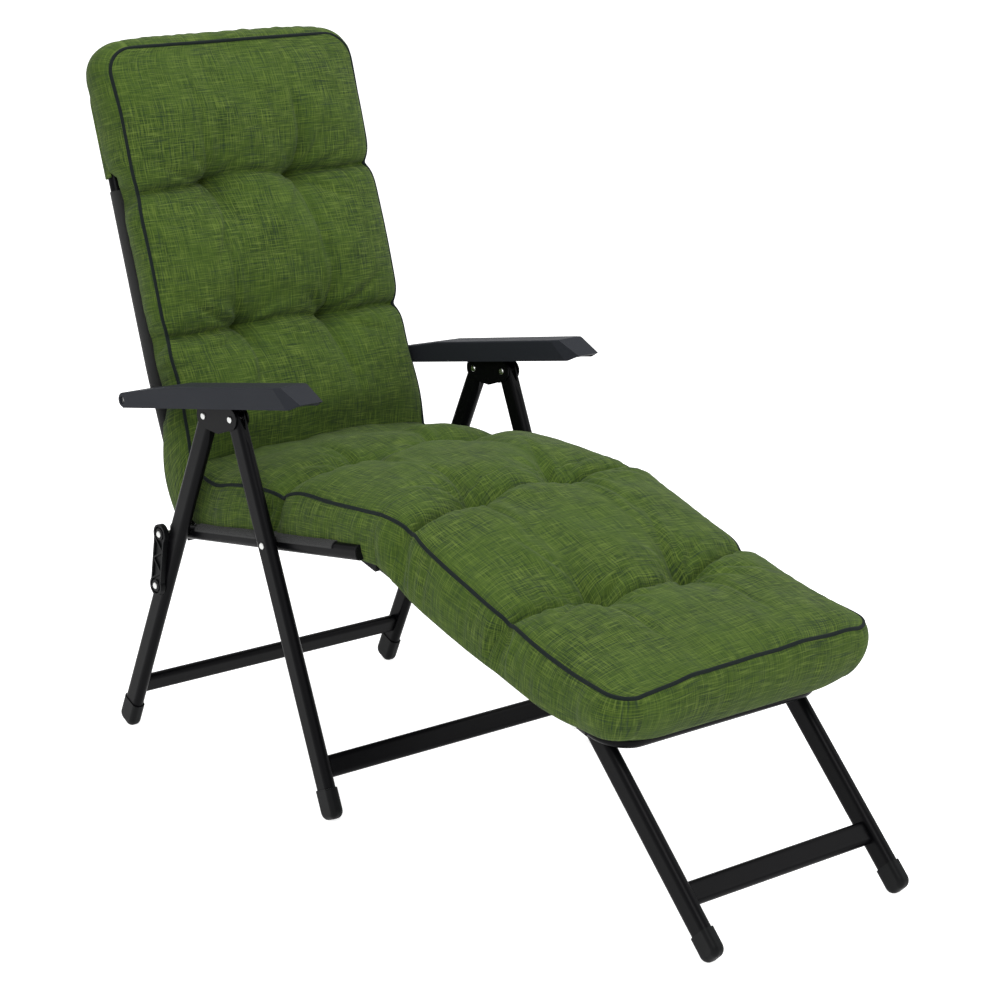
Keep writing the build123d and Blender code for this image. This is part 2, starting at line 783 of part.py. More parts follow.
# Toothed racks: one notch for each position, and tooth tips that just clear the pins
steps = [recline_range * i / (recline_notches - 1) for i in range(recline_notches)]
seats = [pin_seen_from_arm(step) for step in steps]
half_steps = [recline_range * (i - 0.5) / (recline_notches - 1) for i in range(recline_notches + 1)]
rack_roof = arm_top - arm_roof
tip_rise = pin_radius + rack_gap
for label, sign in both_sides:
    with BuildPart() as rack:
        with BuildSketch(side(sign * leg_side)):
            tips = [pin_seen_from_arm(step) + Vector(0, tip_rise) for step in half_steps]
            tips[0] = Vector(seats[0].X - rack_end, tips[0].Y)
            tips[-1] = Vector(seats[-1].X + rack_end, tips[-1].Y)
            with BuildLine():
                Polyline(
                    arm(tips[0].X, rack_roof),
                    *[arm(tip.X, tip.Y) for tip in tips],
                    arm(tips[-1].X, rack_roof),
                    close=True,
                )
            make_face()
            for seat in seats:
                lift = seat.X * tan(radians(latch_drop))
                top = arm(seat.X, seat.Y + lift)
                disc(top, pin_radius + rack_gap, mode=Mode.SUBTRACT)
                mouth = arm(seat.X, seat.Y - rack_mouth)
                with Locations((top + mouth) * 0.5):
                    Rectangle(
                        (top - mouth).length,
                        2 * (pin_radius + rack_gap),
                        rotation=90 - arm_tilt,
                        mode=Mode.SUBTRACT,
                    )
        extrude(amount=rack_thick / 2, both=True)
    save(rack, f"armrest_rack_{label}")

bolt_end = arm_outer - arm_bolt_recess
with BuildPart() as armrest_bolts:
    for sign in (1, -1):
        low, high = sorted((sign * back_inner, sign * bolt_end))
        with BuildSketch(side(low)):
            disc(arm_pivot, arm_bolt_radius)
        extrude(amount=high - low)
        for x, outward in ((sign * bolt_end, sign), (sign * back_inner, -sign)):
            with BuildSketch(side(x)):
                disc(arm_pivot, arm_bolt_head_radius)
            extrude(amount=outward * rivet_head_height)
save(armrest_bolts, "armrest_bolts")

with BuildPart() as armrest_bushes:
    for sign in (1, -1):
        with BuildSketch(side(sign * (back_outer + arm_inner) / 2)):
            disc(arm_pivot, arm_boss_radius - arm_wall)
            disc(arm_pivot, arm_bolt_radius + running_gap, mode=Mode.SUBTRACT)
        extrude(amount=(arm_inner - back_outer) / 2 - fit_gap, both=True)
save(armrest_bushes, "armrest_bushes")

# Footrest frame
footrest_nose = footrest_line + footrest_ahead * footrest_length
for label, sign in both_sides:
    with BuildPart() as footrest_rail:
        start = footrest_line + footrest_ahead * footrest_start
        corner = footrest_side - 2 * footrest_corner_radius
        with BuildLine():
            FilletPolyline(
                place(start, sign * footrest_side),
                place(footrest_nose, sign * footrest_side),
                place(footrest_nose, sign * corner),
                radius=footrest_corner_radius,
            )
        with BuildSketch(section(start, footrest_ahead, sign * footrest_side)):
            Circle(footrest_tube_radius)
            Circle(footrest_tube_radius - footrest_tube_wall, mode=Mode.SUBTRACT)
        sweep()
        # A tab under the rail carries the leg
        tab_top = foot_leg_pivot + footrest_up * foot_leg_drop
        with BuildSketch(side(sign * (foot_leg_outer + fit_gap))):
            bar_between(tab_top, foot_leg_pivot, foot_tab_depth)
            disc(foot_leg_pivot, foot_tab_depth / 2)
        extrude(amount=sign * (footrest_tube_radius - footrest_tube_wall))
        with BuildSketch(section(start, footrest_ahead, sign * footrest_side)):
            Circle(footrest_tube_radius - footrest_tube_wall)
        extrude(amount=footrest_length - 2 * footrest_corner_radius, mode=Mode.SUBTRACT)
        bore(foot_leg_pivot, rivet_radius + running_gap, sign * footrest_side, leg_width)
    save(footrest_rail, f"footrest_rail_{label}")

with BuildPart() as footrest_front_tube:
    half = footrest_side - 2 * footrest_corner_radius
    cross_tube(footrest_nose, half, footrest_tube_radius, footrest_tube_wall)
save(footrest_front_tube, "footrest_front_tube")

brace = footrest_line + footrest_ahead * footrest_brace_ahead
with BuildPart() as footrest_brace:
    cross_tube(brace, footrest_side, footrest_brace_radius, footrest_tube_wall)
    cope(brace, footrest_ahead, footrest_tube_radius, footrest_side)
save(footrest_brace, "footrest_brace")

# Sleeves on the seat's front tube, and the clips that snap over them
bush_radius = seat_tube_radius + running_gap + bush_wall
with BuildPart() as footrest_bushes:
    for sign in (1, -1):
        with BuildSketch(side(sign * footrest_side)):
            disc(tilt_pivot, bush_radius)
            disc(tilt_pivot, seat_tube_radius + running_gap, mode=Mode.SUBTRACT)
        extrude(amount=clip_width / 2, both=True)
save(footrest_bushes, "footrest_bushes")

clip_radius = bush_radius + running_gap + clip_wall
for label, sign in both_sides:
    with BuildPart() as footrest_clip:
        tail = footrest_line - footrest_ahead * clip_tail
        front = footrest_line + footrest_ahead * footrest_start
        with BuildSketch(side(sign * footrest_side)):
            bar_between(tail, front, 2 * footrest_tube_radius)
            disc(tail, footrest_tube_radius)
            disc(tilt_pivot, clip_radius)
            disc(tilt_pivot, bush_radius + running_gap, mode=Mode.SUBTRACT)
        extrude(amount=clip_width / 2, both=True)
        mouth = tilt_pivot + (footrest_up - footrest_ahead) * clip_radius
        with BuildSketch(side(sign * footrest_side)):
            bar_between(tilt_pivot, mouth, clip_mouth)
        extrude(amount=clip_width / 2, both=True, mode=Mode.SUBTRACT)
        with BuildSketch(section(front, footrest_ahead, sign * footrest_side)):
            Circle(footrest_tube_radius - footrest_tube_wall - fit_gap)
        extrude(amount=footrest_start)
    save(footrest_clip, f"footrest_clip_{label}")

with BuildPart() as footrest_sling:
    start = footrest_line + footrest_ahead * (footrest_length - footrest_corner_radius)
    end = footrest_line + footrest_ahead * footrest_sling_start
    with BuildSketch(section(start, -footrest_ahead)):
        sling_section(footrest_side, footrest_tube_radius, 0, True)
    extrude(amount=(end - start).length)
    bore(foot_leg_pivot, rivet_head_radius + sling_gap, footrest_side + footrest_tube_radius, leg_width / 2)
    bore(foot_leg_pivot, rivet_head_radius + sling_gap, -footrest_side - footrest_tube_radius, leg_width / 2)
save(footrest_sling, "footrest_sling")

rail_face = footrest_side + footrest_tube_radius
with BuildPart() as footrest_leg_rivets:
    rivet(foot_leg_pivot, foot_leg_inner, rail_face, True, True)
    rivet(foot_leg_pivot, -rail_face, -foot_leg_inner, True, True)
save(footrest_leg_rivets, "footrest_leg_rivets")

# Footrest legs, necked at the top to clear the sling
for label, sign in both_sides:
    with BuildPart() as footrest_leg:
        leg(foot_sole, foot_leg_up, foot_leg_pivot, sign * foot_leg_side, foot_leg_neck)
        bore(foot_leg_pivot, rivet_radius + running_gap, sign * foot_leg_side, leg_width)
    save(footrest_leg, f"footrest_leg_{label}")

    with BuildPart() as footrest_foot_cap:
        foot_cap(foot_sole, foot_leg_up, sign * foot_leg_side)
    save(footrest_foot_cap, f"footrest_foot_cap_{label}")

with BuildPart() as footrest_crossbar:
    crossbar(foot_sole, foot_leg_up, foot_leg_inner)
save(footrest_crossbar, "footrest_crossbar")


# Cushion
def cushion_section(v, direction, base, thick, rise, drawn):
    """A cushion's outline across its length: flat base, bulging sides and crowned top."""
    half = cushion_half_width - drawn
    rim = half - cushion_rim_in
    foot = half - cushion_base_in
    top = base + thick
    with BuildSketch(section(v, direction)) as outline:
        with BuildLine():
            Line((-foot, base), (foot, base))
            ThreePointArc((foot, base), (half, base + thick / 2), (rim, top))
            ThreePointArc((rim, top), (0, top + rise), (-rim, top))
            ThreePointArc((-rim, top), (-half, base + thick / 2), (-foot, base))
        make_face()
    return outline.sketch.faces()[0]


def filling(*stations):
    """One filling, lofted through its sections from the channel before it to the next."""
    loft([cushion_section(*station) for station in stations])


def tufts(v, up):
    """Two sewn tufts, each a funnel into the crown."""
    for sign in (1, -1):
        surface = Plane(origin=place(v, sign * tuft_side), x_dir=(1, 0, 0), z_dir=(0, up.X, up.Y))
        with BuildSketch(surface.offset(-tuft_depth)) as eye:
            Circle(tuft_eye)
        with BuildSketch(surface.offset(tuft_flare)) as flare:
            Circle(tuft_radius)
        loft([eye.sketch.faces()[0], flare.sketch.faces()[0]], mode=Mode.SUBTRACT)


def trim_below(*outline):
    """Keeps a cushion's base off the frame under it."""
    with BuildSketch(side(0)) as below:
        Polygon(*outline, align=None)
    extrude(below.sketch, amount=2 * cushion_half_width, both=True, mode=Mode.SUBTRACT)


# The crease between back and seat, and the one at the knees
back_front = quarter(back_up)
back_top_front = quarter(back_top_up)
crease_run = heading(back_crease_lean)
crease_top = recline_pivot + back_up * back_crease_up + back_front * back_crease_out
crease_low = crease_top - quarter(crease_run) * back_crease_thick
seat_run = -seat_ahead
footrest_run = -footrest_ahead
knee_run = (seat_run + footrest_run).normalized()
knee_top = recline_pivot + seat_ahead * knee_ahead + seat_up * knee_up
knee_low = knee_top - quarter(knee_run) * knee_thick
round_base = back_tube_radius + sling_gap + sling_thick + cushion_gap
seat_base = rail_depth / 2 + sling_gap + sling_thick + cushion_gap
at_channel = boxing_channel, crown_channel, drawn_channel
at_middle = boxing, crown, 0
at_edge = boxing, crown_edge, drawn_edge


def along_back(length):
    """A place on the back tubes' centre line at a length above the recline pivot, and its direction."""
    turn = radians(back_lean - back_top_lean)
    tangent = back_bend_radius * tan(turn / 2)
    bend_at = arm_post + back_bend_above
    if length <= bend_at - tangent:
        return recline_pivot + back_up * length, back_up
    if length >= bend_at + tangent:
        return back_bend + back_top_up * (length - bend_at), back_top_up
    turned = turn * (length - bend_at + tangent) / (2 * tangent)
    centre = recline_pivot + back_up * (bend_at - tangent) + back_front * back_bend_radius
    direction = heading(90 - back_lean + degrees(turned))
    return centre - quarter(direction) * back_bend_radius, direction


with BuildPart() as back_cushion:
    gap = crease_run * (mitre_gap / 2)
    filling(
        (crease_low + gap, crease_run, 0, back_crease_thick, crown_channel, drawn_channel),
        (*along_back(back_low_places[0]), round_base, *at_edge),
        (*along_back(back_low_places[1]), round_base, *at_middle),
        (*along_back(back_row_low), round_base, *at_channel),
    )
    filling(
        (*along_back(back_row_low), round_base, *at_channel),
        (*along_back(back_mid_place), round_base, *at_middle),
        (*along_back(back_row_high), round_base, *at_channel),
    )
    filling(
        (*along_back(back_row_high), round_base, *at_channel),
        (*along_back(back_head_place), round_base, *at_middle),
        (*along_back(back_cushion_top), round_base, back_top_thick, crown_channel, drawn_channel),
    )
    front_face = []
    for i in range(back_trim_steps + 1):
        at, direction = along_back(back_cushion_top * i / back_trim_steps)
        front_face.append(at + quarter(direction) * round_base)
    behind = back_top_front * boxing
    trim_below(*front_face, front_face[-1] + back_up * boxing - behind, front_face[0] - behind)
    for row in (back_row_low, back_row_high):
        at, direction = along_back(row)
        up = quarter(direction)
        tufts(at + up * (round_base + boxing_channel + crown_channel), up)
save(back_cushion, "back_cushion")


def on_seat(ahead, above):
    """A place above the seat rails' centre line, ahead of the recline pivot."""
    return recline_pivot + seat_ahead * ahead + seat_up * above


def on_footrest(ahead, above):
    """A place above the footrest rails' centre line, ahead of the footrest pivot."""
    return footrest_line + footrest_ahead * ahead + footrest_up * above


with BuildPart() as seat_cushion:
    knee_gap = knee_run * (mitre_gap / 2)
    filling(
        (knee_low + knee_gap, knee_run, 0, knee_thick, crown_channel, drawn_channel),
        (on_seat(seat_front_places[1], 0), seat_run, seat_base, *at_edge),
        (on_seat(seat_front_places[0], 0), seat_run, seat_base, *at_middle),
        (on_seat(seat_row, 0), seat_run, seat_base, *at_channel),
    )
    filling(
        (on_seat(seat_row, 0), seat_run, seat_base, *at_channel),
        (on_seat(seat_rear_places[1], 0), seat_run, seat_base, *at_middle),
        (on_seat(seat_rear_places[0], 0), seat_run, seat_base, seat_rear_thick, crown_edge, drawn_edge),
        (crease_low - gap, crease_run, 0, back_crease_thick, crown_channel, drawn_channel),
    )
    trim_below(
        on_seat(-rail_rear, -boxing),
        on_seat(seat_front_places[1], -boxing),
        on_seat(seat_front_places[1], seat_base),
        on_seat(-rail_rear, seat_base),
    )
    tufts(on_seat(seat_row, seat_base + boxing_channel + crown_channel), seat_up)
    tufts(knee_top + quarter(knee_run) * crown_channel, quarter(knee_run))
save(seat_cushion, "seat_cushion")

with BuildPart() as footrest_cushion:
    filling(
        (on_footrest(foot_end, 0), footrest_run, foot_end_base, foot_end_thick, crown_channel, drawn_edge),
        (on_footrest(foot_place, 0), footrest_run, round_base, *at_middle),
        (on_footrest(foot_row, 0), footrest_run, round_base, *at_channel),
    )
    filling(
        (on_footrest(foot_row, 0), footrest_run, round_base, *at_channel),
        (on_footrest(leg_place, 0), footrest_run, leg_base, *at_middle),
        (knee_low - knee_gap, knee_run, 0, knee_thick, crown_channel, drawn_channel),
    )
    trim_below(
        on_footrest(0, -boxing),
        on_footrest(foot_end, -boxing),
        on_footrest(foot_end, round_base),
        on_footrest(0, round_base),
    )
    tufts(on_footrest(foot_row, round_base + boxing_channel + crown_channel), footrest_up)
    tufts(knee_top + quarter(knee_run) * crown_channel, quarter(knee_run))
save(footrest_cushion, "footrest_cushion")

# Hood: a sewn pocket behind the cushion that slips over the top of the back frame
with BuildPart() as cushion_hood:
    hood_plane = Plane(
        origin=place(back_top, 0), x_dir=(1, 0, 0), z_dir=(0, back_top_front.X, back_top_front.Y)
    )
    room = back_tube_radius + hood_gap
    shell = room + hood_thick
    for margin, depth, cut in ((shell, hood_front, Mode.ADD), (room, back_tube_radius, Mode.SUBTRACT)):
        half = back_side + margin
        corner = back_corner_radius + margin
        deep = hood_drop if cut == Mode.ADD else hood_drop + shell
        with BuildSketch(hood_plane.offset(-margin)):
            with Locations((0, (margin - deep) / 2)):
                Rectangle(2 * half, margin + deep)
            top_corners = vertices().group_by(Axis.Y)[-1]
            fillet(top_corners, corner)
        extrude(amount=margin + hood_front if cut == Mode.ADD else margin + 2 * hood_front, mode=cut)
save(cushion_hood, "cushion_hood")
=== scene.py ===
import json
from math import cos, pi, radians, sin, tan

import bmesh
import bpy
import numpy as np
from mathutils import Matrix, Vector


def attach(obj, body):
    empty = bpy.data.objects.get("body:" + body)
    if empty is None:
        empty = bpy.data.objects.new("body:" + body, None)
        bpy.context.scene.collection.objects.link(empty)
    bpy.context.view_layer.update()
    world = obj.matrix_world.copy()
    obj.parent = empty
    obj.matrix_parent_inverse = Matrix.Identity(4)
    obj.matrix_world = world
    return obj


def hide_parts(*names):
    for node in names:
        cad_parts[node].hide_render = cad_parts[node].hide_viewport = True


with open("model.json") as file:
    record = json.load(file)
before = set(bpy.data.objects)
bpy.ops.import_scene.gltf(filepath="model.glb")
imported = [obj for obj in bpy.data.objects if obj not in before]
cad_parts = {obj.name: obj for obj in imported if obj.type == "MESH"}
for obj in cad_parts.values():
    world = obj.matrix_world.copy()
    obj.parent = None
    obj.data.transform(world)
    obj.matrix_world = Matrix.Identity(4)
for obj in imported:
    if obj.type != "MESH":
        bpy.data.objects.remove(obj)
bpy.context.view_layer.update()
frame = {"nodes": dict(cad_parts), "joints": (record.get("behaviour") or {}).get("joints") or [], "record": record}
nodes = frame["nodes"]
joint_at = {joint["name"]: np.array(joint["pos_m"]) for joint in frame["joints"]}

# Camera
# A long lens, a little above the armrests, off the chair's front right corner.
# Place, heading and focal length were solved from the photograph's parallel edges.
camera_data = bpy.data.cameras.new("camera")
camera_data.sensor_width = 36.0
camera_data.lens = 99.6
camera_data.clip_end = 60.0
camera = bpy.data.objects.new("camera", camera_data)
bpy.context.scene.collection.objects.link(camera)
camera_place = (-2.639, -3.2486, 1.601)
camera_heading, camera_dip, camera_roll = 39.34, 14.8, -0.19
camera.matrix_world = (
    Matrix.Translation(camera_place)
    @ Matrix.Rotation(radians(-camera_heading), 4, "Z")
    @ Matrix.Rotation(radians(90 - camera_dip), 4, "X")
    @ Matrix.Rotation(radians(camera_roll), 4, "Z")
)
bpy.context.scene.camera = camera
bpy.context.scene.view_settings.view_transform = "Standard"


def linear(code):
    """An sRGB hex colour as the linear colour that shaders take."""
    channels = np.array([int(code[i : i + 2], 16) for i in (1, 3, 5)]) / 255
    bent = np.where(channels <= 0.04045, channels / 12.92, ((channels + 0.055) / 1.055) ** 2.4)
    return (*bent.tolist(), 1.0)


def add_node(tree, kind, settings=None, links=None):
    """A shader node with its settings by attribute or input name, and its inputs' links."""
    made = tree.nodes.new(kind)
    for name, value in (settings or {}).items():
        if isinstance(name, str) and hasattr(made, name) and name not in made.inputs:
            setattr(made, name, value)
        else:
            made.inputs[name].default_value = value
    for name, source in (links or {}).items():
        tree.links.new(source, made.inputs[name])
    return made


def new_material(name):
    """A material with an empty node tree, and that tree."""
    material = bpy.data.materials.new(name)
    material.use_nodes = True
    material.node_tree.nodes.clear()
    return material, material.node_tree


# Studio
# A seamless white paper floor under soft boxes, as in a product studio.
# The paper shows as white to the camera and in reflections, and keeps the shadow.


def shown_directly(tree):
    """A socket that is 1 for rays from the camera, through glass or off a gloss, and 0 for the rest."""
    rays = add_node(tree, "ShaderNodeLightPath")
    straight = add_node(
        tree,
        "ShaderNodeMath",
        {"operation": "MAXIMUM"},
        {0: rays.outputs["Is Camera Ray"], 1: rays.outputs["Is Transmission Ray"]},
    )
    shown = add_node(
        tree,
        "ShaderNodeMath",
        {"operation": "MAXIMUM"},
        {0: straight.outputs[0], 1: rays.outputs["Is Glossy Ray"]},
    )
    return shown.outputs[0]


paper, tree = new_material("white studio paper")
matte = add_node(tree, "ShaderNodeBsdfDiffuse", {"Color": linear("#f4f4f4")})
glow = add_node(tree, "ShaderNodeEmission", {"Color": (1, 1, 1, 1), "Strength": 0.80})
both = add_node(tree, "ShaderNodeAddShader", links={0: matte.outputs[0], 1: glow.outputs[0]})
seen = add_node(
    tree,
    "ShaderNodeMixShader",
    links={0: shown_directly(tree), 1: matte.outputs[0], 2: both.outputs[0]},
)
add_node(tree, "ShaderNodeOutputMaterial", links={"Surface": seen.outputs[0]})

floor_reach = 30.0
floor_corners = [(floor_reach * x, floor_reach * y, 0) for x, y in ((-1, -1), (1, -1), (1, 1), (-1, 1))]
floor_mesh = bpy.data.meshes.new("floor")
floor_mesh.from_pydata(floor_corners, [], [(0, 1, 2, 3)])
floor_mesh.materials.append(paper)
floor = bpy.data.objects.new("floor", floor_mesh)
bpy.context.scene.collection.objects.link(floor)

world = bpy.data.worlds.new("studio")
bpy.context.scene.world = world
world.use_nodes = True
tree = world.node_tree
tree.nodes.clear()
level = add_node(
    tree,
    "ShaderNodeMapRange",
    {"From Min": 0.0, "From Max": 1.0, "To Min": 0.62, "To Max": 1.0},
    {"Value": shown_directly(tree)},
)
white = add_node(tree, "ShaderNodeBackground", {"Color": (1, 1, 1, 1)}, {"Strength": level.outputs[0]})
add_node(tree, "ShaderNodeOutputWorld", links={"Surface": white.outputs[0]})

for name, place, aim, size, power in (
    ("key", (-2.6, -2.2, 3.0), (0, 0, 0.5), 1.8, 62.0),
    ("fill", (2.4, -2.8, 2.2), (0, -0.2, 0.5), 2.2, 26.0),
    ("top", (0.2, 0.3, 3.6), (0, 0, 0.4), 2.4, 40.0),
):
    lamp = bpy.data.lights.new(name, "AREA")
    lamp.size = size
    lamp.energy = power
    holder = bpy.data.objects.new(name, lamp)
    bpy.context.scene.collection.objects.link(holder)
    holder.location = place
    holder.rotation_euler = (Vector(aim) - Vector(place)).to_track_quat("-Z", "Y").to_euler()

# Frame tubes and brackets
# Round and oval steel tube, bent and drilled, with pressed steel brackets.
# Satin black powder coat: an even black skin whose orange peel, dimples about
# 1.1 mm apart, softens the reflections. Its gloss drifts over about 70 mm.
peel_per_metre, drift_per_metre = 900.0, 14.0
powder_coat, tree = new_material("black powder coated steel")
at = add_node(tree, "ShaderNodeTexCoord").outputs["Object"]
peel = add_node(tree, "ShaderNodeTexNoise", {"Scale": peel_per_metre, "Detail": 2.0}, {"Vector": at})
dimple = add_node(
    tree, "ShaderNodeBump", {"Strength": 0.18, "Distance": 0.0004}, {"Height": peel.outputs["Fac"]}
)
cloud = add_node(tree, "ShaderNodeTexNoise", {"Scale": drift_per_metre, "Detail": 3.0}, {"Vector": at})
gloss = add_node(
    tree, "ShaderNodeMapRange", {"To Min": 0.27, "To Max": 0.37}, {"Value": cloud.outputs["Fac"]}
)
coat = add_node(
    tree,
    "ShaderNodeBsdfPrincipled",
    {"Base Color": linear("#0a0a0c"), "IOR": 1.5, "Specular IOR Level": 0.06},
    {"Roughness": gloss.outputs[0], "Normal": dimple.outputs[0]},
)
add_node(tree, "ShaderNodeOutputMaterial", links={"Surface": coat.outputs[0]})

# Rivets, pins and bolts
# Steel rivets with low domed heads, bright zinc plated, through tubes, plates and links.
# The plating is faintly cloudy, in patches about 4 mm wide.
cloud_per_metre = 260.0
zinc, tree = new_material("zinc plated steel")
at = add_node(tree, "ShaderNodeTexCoord").outputs["Object"]
cloud = add_node(tree, "ShaderNodeTexNoise", {"Scale": cloud_per_metre, "Detail": 4.0}, {"Vector": at})
gloss = add_node(
    tree, "ShaderNodeMapRange", {"To Min": 0.22, "To Max": 0.42}, {"Value": cloud.outputs["Fac"]}
)
plate = add_node(
    tree,
    "ShaderNodeBsdfPrincipled",
    {"Base Color": linear("#c9cac8"), "Metallic": 1.0},
    {"Roughness": gloss.outputs[0]},
)
add_node(tree, "ShaderNodeOutputMaterial", links={"Surface": plate.outputs[0]})

# Armrests
# Anthracite polypropylene mouldings, bolted to the back tubes and resting on the brackets.
# A fine spark-eroded grain, about 0.7 mm, keeps them matt; their gloss drifts over about 110 mm.
grain_per_metre, drift_per_metre = 1400.0, 9.0
armrest_plastic, tree = new_material("anthracite moulded polypropylene")
at = add_node(tree, "ShaderNodeTexCoord").outputs["Object"]
grain = add_node(tree, "ShaderNodeTexNoise", {"Scale": grain_per_metre, "Detail": 3.0}, {"Vector": at})
grit = add_node(
    tree, "ShaderNodeBump", {"Strength": 0.45, "Distance": 0.0003}, {"Height": grain.outputs["Fac"]}
)
cloud = add_node(tree, "ShaderNodeTexNoise", {"Scale": drift_per_metre, "Detail": 2.0}, {"Vector": at})
gloss = add_node(
    tree, "ShaderNodeMapRange", {"To Min": 0.46, "To Max": 0.58}, {"Value": cloud.outputs["Fac"]}
)
moulded = add_node(
    tree,
    "ShaderNodeBsdfPrincipled",
    {"Base Color": linear("#2a2c31"), "IOR": 1.49, "Specular IOR Level": 0.06},
    {"Roughness": gloss.outputs[0], "Normal": grit.outputs[0]},
)
add_node(tree, "ShaderNodeOutputMaterial", links={"Surface": moulded.outputs[0]})

# Caps, plugs, links and clips
# Black nylon mouldings, pushed on the tubes' ends or riveted.
# A grain of about 0.9 mm makes them a little duller than the coated tubes.
grain_per_metre = 1100.0
black_plastic, tree = new_material("black moulded nylon")
at = add_node(tree, "ShaderNodeTexCoord").outputs["Object"]
grain = add_node(tree, "ShaderNodeTexNoise", {"Scale": grain_per_metre, "Detail": 2.0}, {"Vector": at})
grit = add_node(
    tree, "ShaderNodeBump", {"Strength": 0.3, "Distance": 0.0003}, {"Height": grain.outputs["Fac"]}
)
moulded = add_node(
    tree,
    "ShaderNodeBsdfPrincipled",
    {"Base Color": linear("#0d0e0f"), "IOR": 1.53, "Roughness": 0.44, "Specular IOR Level": 0.08},
    {"Normal": grit.outputs[0]},
)
add_node(tree, "ShaderNodeOutputMaterial", links={"Surface": moulded.outputs[0]})

# Slings
# Black plain-woven polyester, pulled over the tubes and sewn.
# Its threads, about 0.75 mm apart both ways, give a dull cloth with a fine relief.
bands_per_metre = 420.0
sling_cloth, tree = new_material("black woven polyester")
at = add_node(tree, "ShaderNodeTexCoord").outputs["Object"]
threads = {}
for number, axis in enumerate(("X", "Y")):
    wave = add_node(
        tree,
        "ShaderNodeTexWave",
        {"wave_type": "BANDS", "bands_direction": axis, "Scale": bands_per_metre, "Distortion": 0.4},
        {"Vector": at},
    )
    threads[number] = wave.outputs["Fac"]
weave = add_node(tree, "ShaderNodeMath", {"operation": "MULTIPLY"}, threads)
relief = add_node(
    tree, "ShaderNodeBump", {"Strength": 0.5, "Distance": 0.0004}, {"Height": weave.outputs[0]}
)
cloth = add_node(
    tree,
    "ShaderNodeBsdfPrincipled",
    {"Base Color": linear("#111212"), "Roughness": 0.8, "Sheen Weight": 0.08},
    {"Normal": relief.outputs[0]},
)
add_node(tree, "ShaderNodeOutputMaterial", links={"Surface": cloth.outputs[0]})

# The finishes go on the CAD pieces by the slot that the record gives each
finishes = {
    "powder_coated_steel": powder_coat,
    "zinc_plated_steel": zinc,
    "armrest_plastic": armrest_plastic,
    "black_plastic": black_plastic,
    "sling_fabric": sling_cloth,
}
for subpart in frame["record"]["subparts"]:
    finish = finishes.get(subpart["material_slot"])
    if finish:
        mesh = nodes[subpart["node"]].data
        mesh.materials.clear()
        mesh.materials.append(finish)

# Cushion cloth
# Piece-dyed slub weave in greens: uneven yarns leave short dark and light streaks both ways.
# The streaks follow the cloth's own UV map, in metres along and across the cushion. Real slubs
# are under a millimetre thick, and are drawn 1.5 to 1.8 mm thick so that the render shows them.
cushion_cloth, tree = new_material("green slub weave")
cloth_uv = add_node(tree, "ShaderNodeUVMap", {"uv_map": "cloth"}).outputs["UV"]


def streaks(along, across, seed, low, high):
    """Noise stretched along one thread direction: yarn length and thickness in metres."""
    move = add_node(
        tree,
        "ShaderNodeMapping",
        {"Location": (seed, seed * 0.37, 0.0), "Scale": (1 / across, 1 / along, 1.0)},
        {"Vector": cloth_uv},
    )
    noise = add_node(
        tree,
        "ShaderNodeTexNoise",
        {"noise_dimensions": "2D", "Scale": 1.0, "Detail": 1.5, "Roughness": 0.5},
        {"Vector": move.outputs[0]},
    )
    limits = {"From Min": low, "From Max": high}
    return add_node(tree, "ShaderNodeMapRange", limits, {"Value": noise.outputs["Fac"]}).outputs[0]


def tinted(under, amount, code, share):
    """The colour under, mixed towards another by an amount map."""
    part = add_node(tree, "ShaderNodeMath", {"operation": "MULTIPLY", 1: share}, {0: amount})
    mixed = add_node(tree, "ShaderNodeMix", {"data_type": "RGBA"})
    tree.links.new(part.outputs[0], mixed.inputs[0])
    tree.links.new(under, mixed.inputs[6])
    mixed.inputs[7].default_value = linear(code)
    return mixed.outputs[2]


# Dark yarns both ways, light ones, blue-black slubs, and a slow drift of the dye
base_green = add_node(tree, "ShaderNodeRGB")
base_green.outputs[0].default_value = linear("#3e531b")
colour = base_green.outputs[0]
for along, across, seed, low, high, code, share in (
    (0.055, 0.0017, 3.1, 0.50, 0.70, "#223413", 0.85),
    (0.0017, 0.055, 7.7, 0.50, 0.70, "#213217", 0.85),
    (0.035, 0.0015, 11.9, 0.53, 0.70, "#6a7e33", 0.56),
    (0.0015, 0.038, 17.3, 0.53, 0.70, "#6e823a", 0.54),
    (0.070, 0.0018, 23.3, 0.60, 0.76, "#1b2a24", 0.65),
    (0.0018, 0.060, 29.9, 0.60, 0.76, "#1a2924", 0.65),
    (0.12, 0.12, 41.0, 0.35, 0.75, "#475f20", 0.35),
):
    colour = tinted(colour, streaks(along, across, seed, low, high), code, share)
yarns = {}
for number, (along, across, seed) in enumerate(((0.03, 0.0011, 51.0), (0.0011, 0.03, 57.0))):
    yarns[number] = streaks(along, across, seed, 0.3, 0.7)
yarn_height = add_node(tree, "ShaderNodeMath", {"operation": "ADD"}, yarns)
relief = add_node(
    tree, "ShaderNodeBump", {"Strength": 0.35, "Distance": 0.0006}, {"Height": yarn_height.outputs[0]}
)
cloth = add_node(
    tree,
    "ShaderNodeBsdfPrincipled",
    {"Roughness": 0.9, "Sheen Weight": 0.04, "Sheen Roughness": 0.5, "Specular IOR Level": 0.18},
    {"Base Color": colour, "Normal": relief.outputs[0]},
)
add_node(tree, "ShaderNodeOutputMaterial", links={"Surface": cloth.outputs[0]})

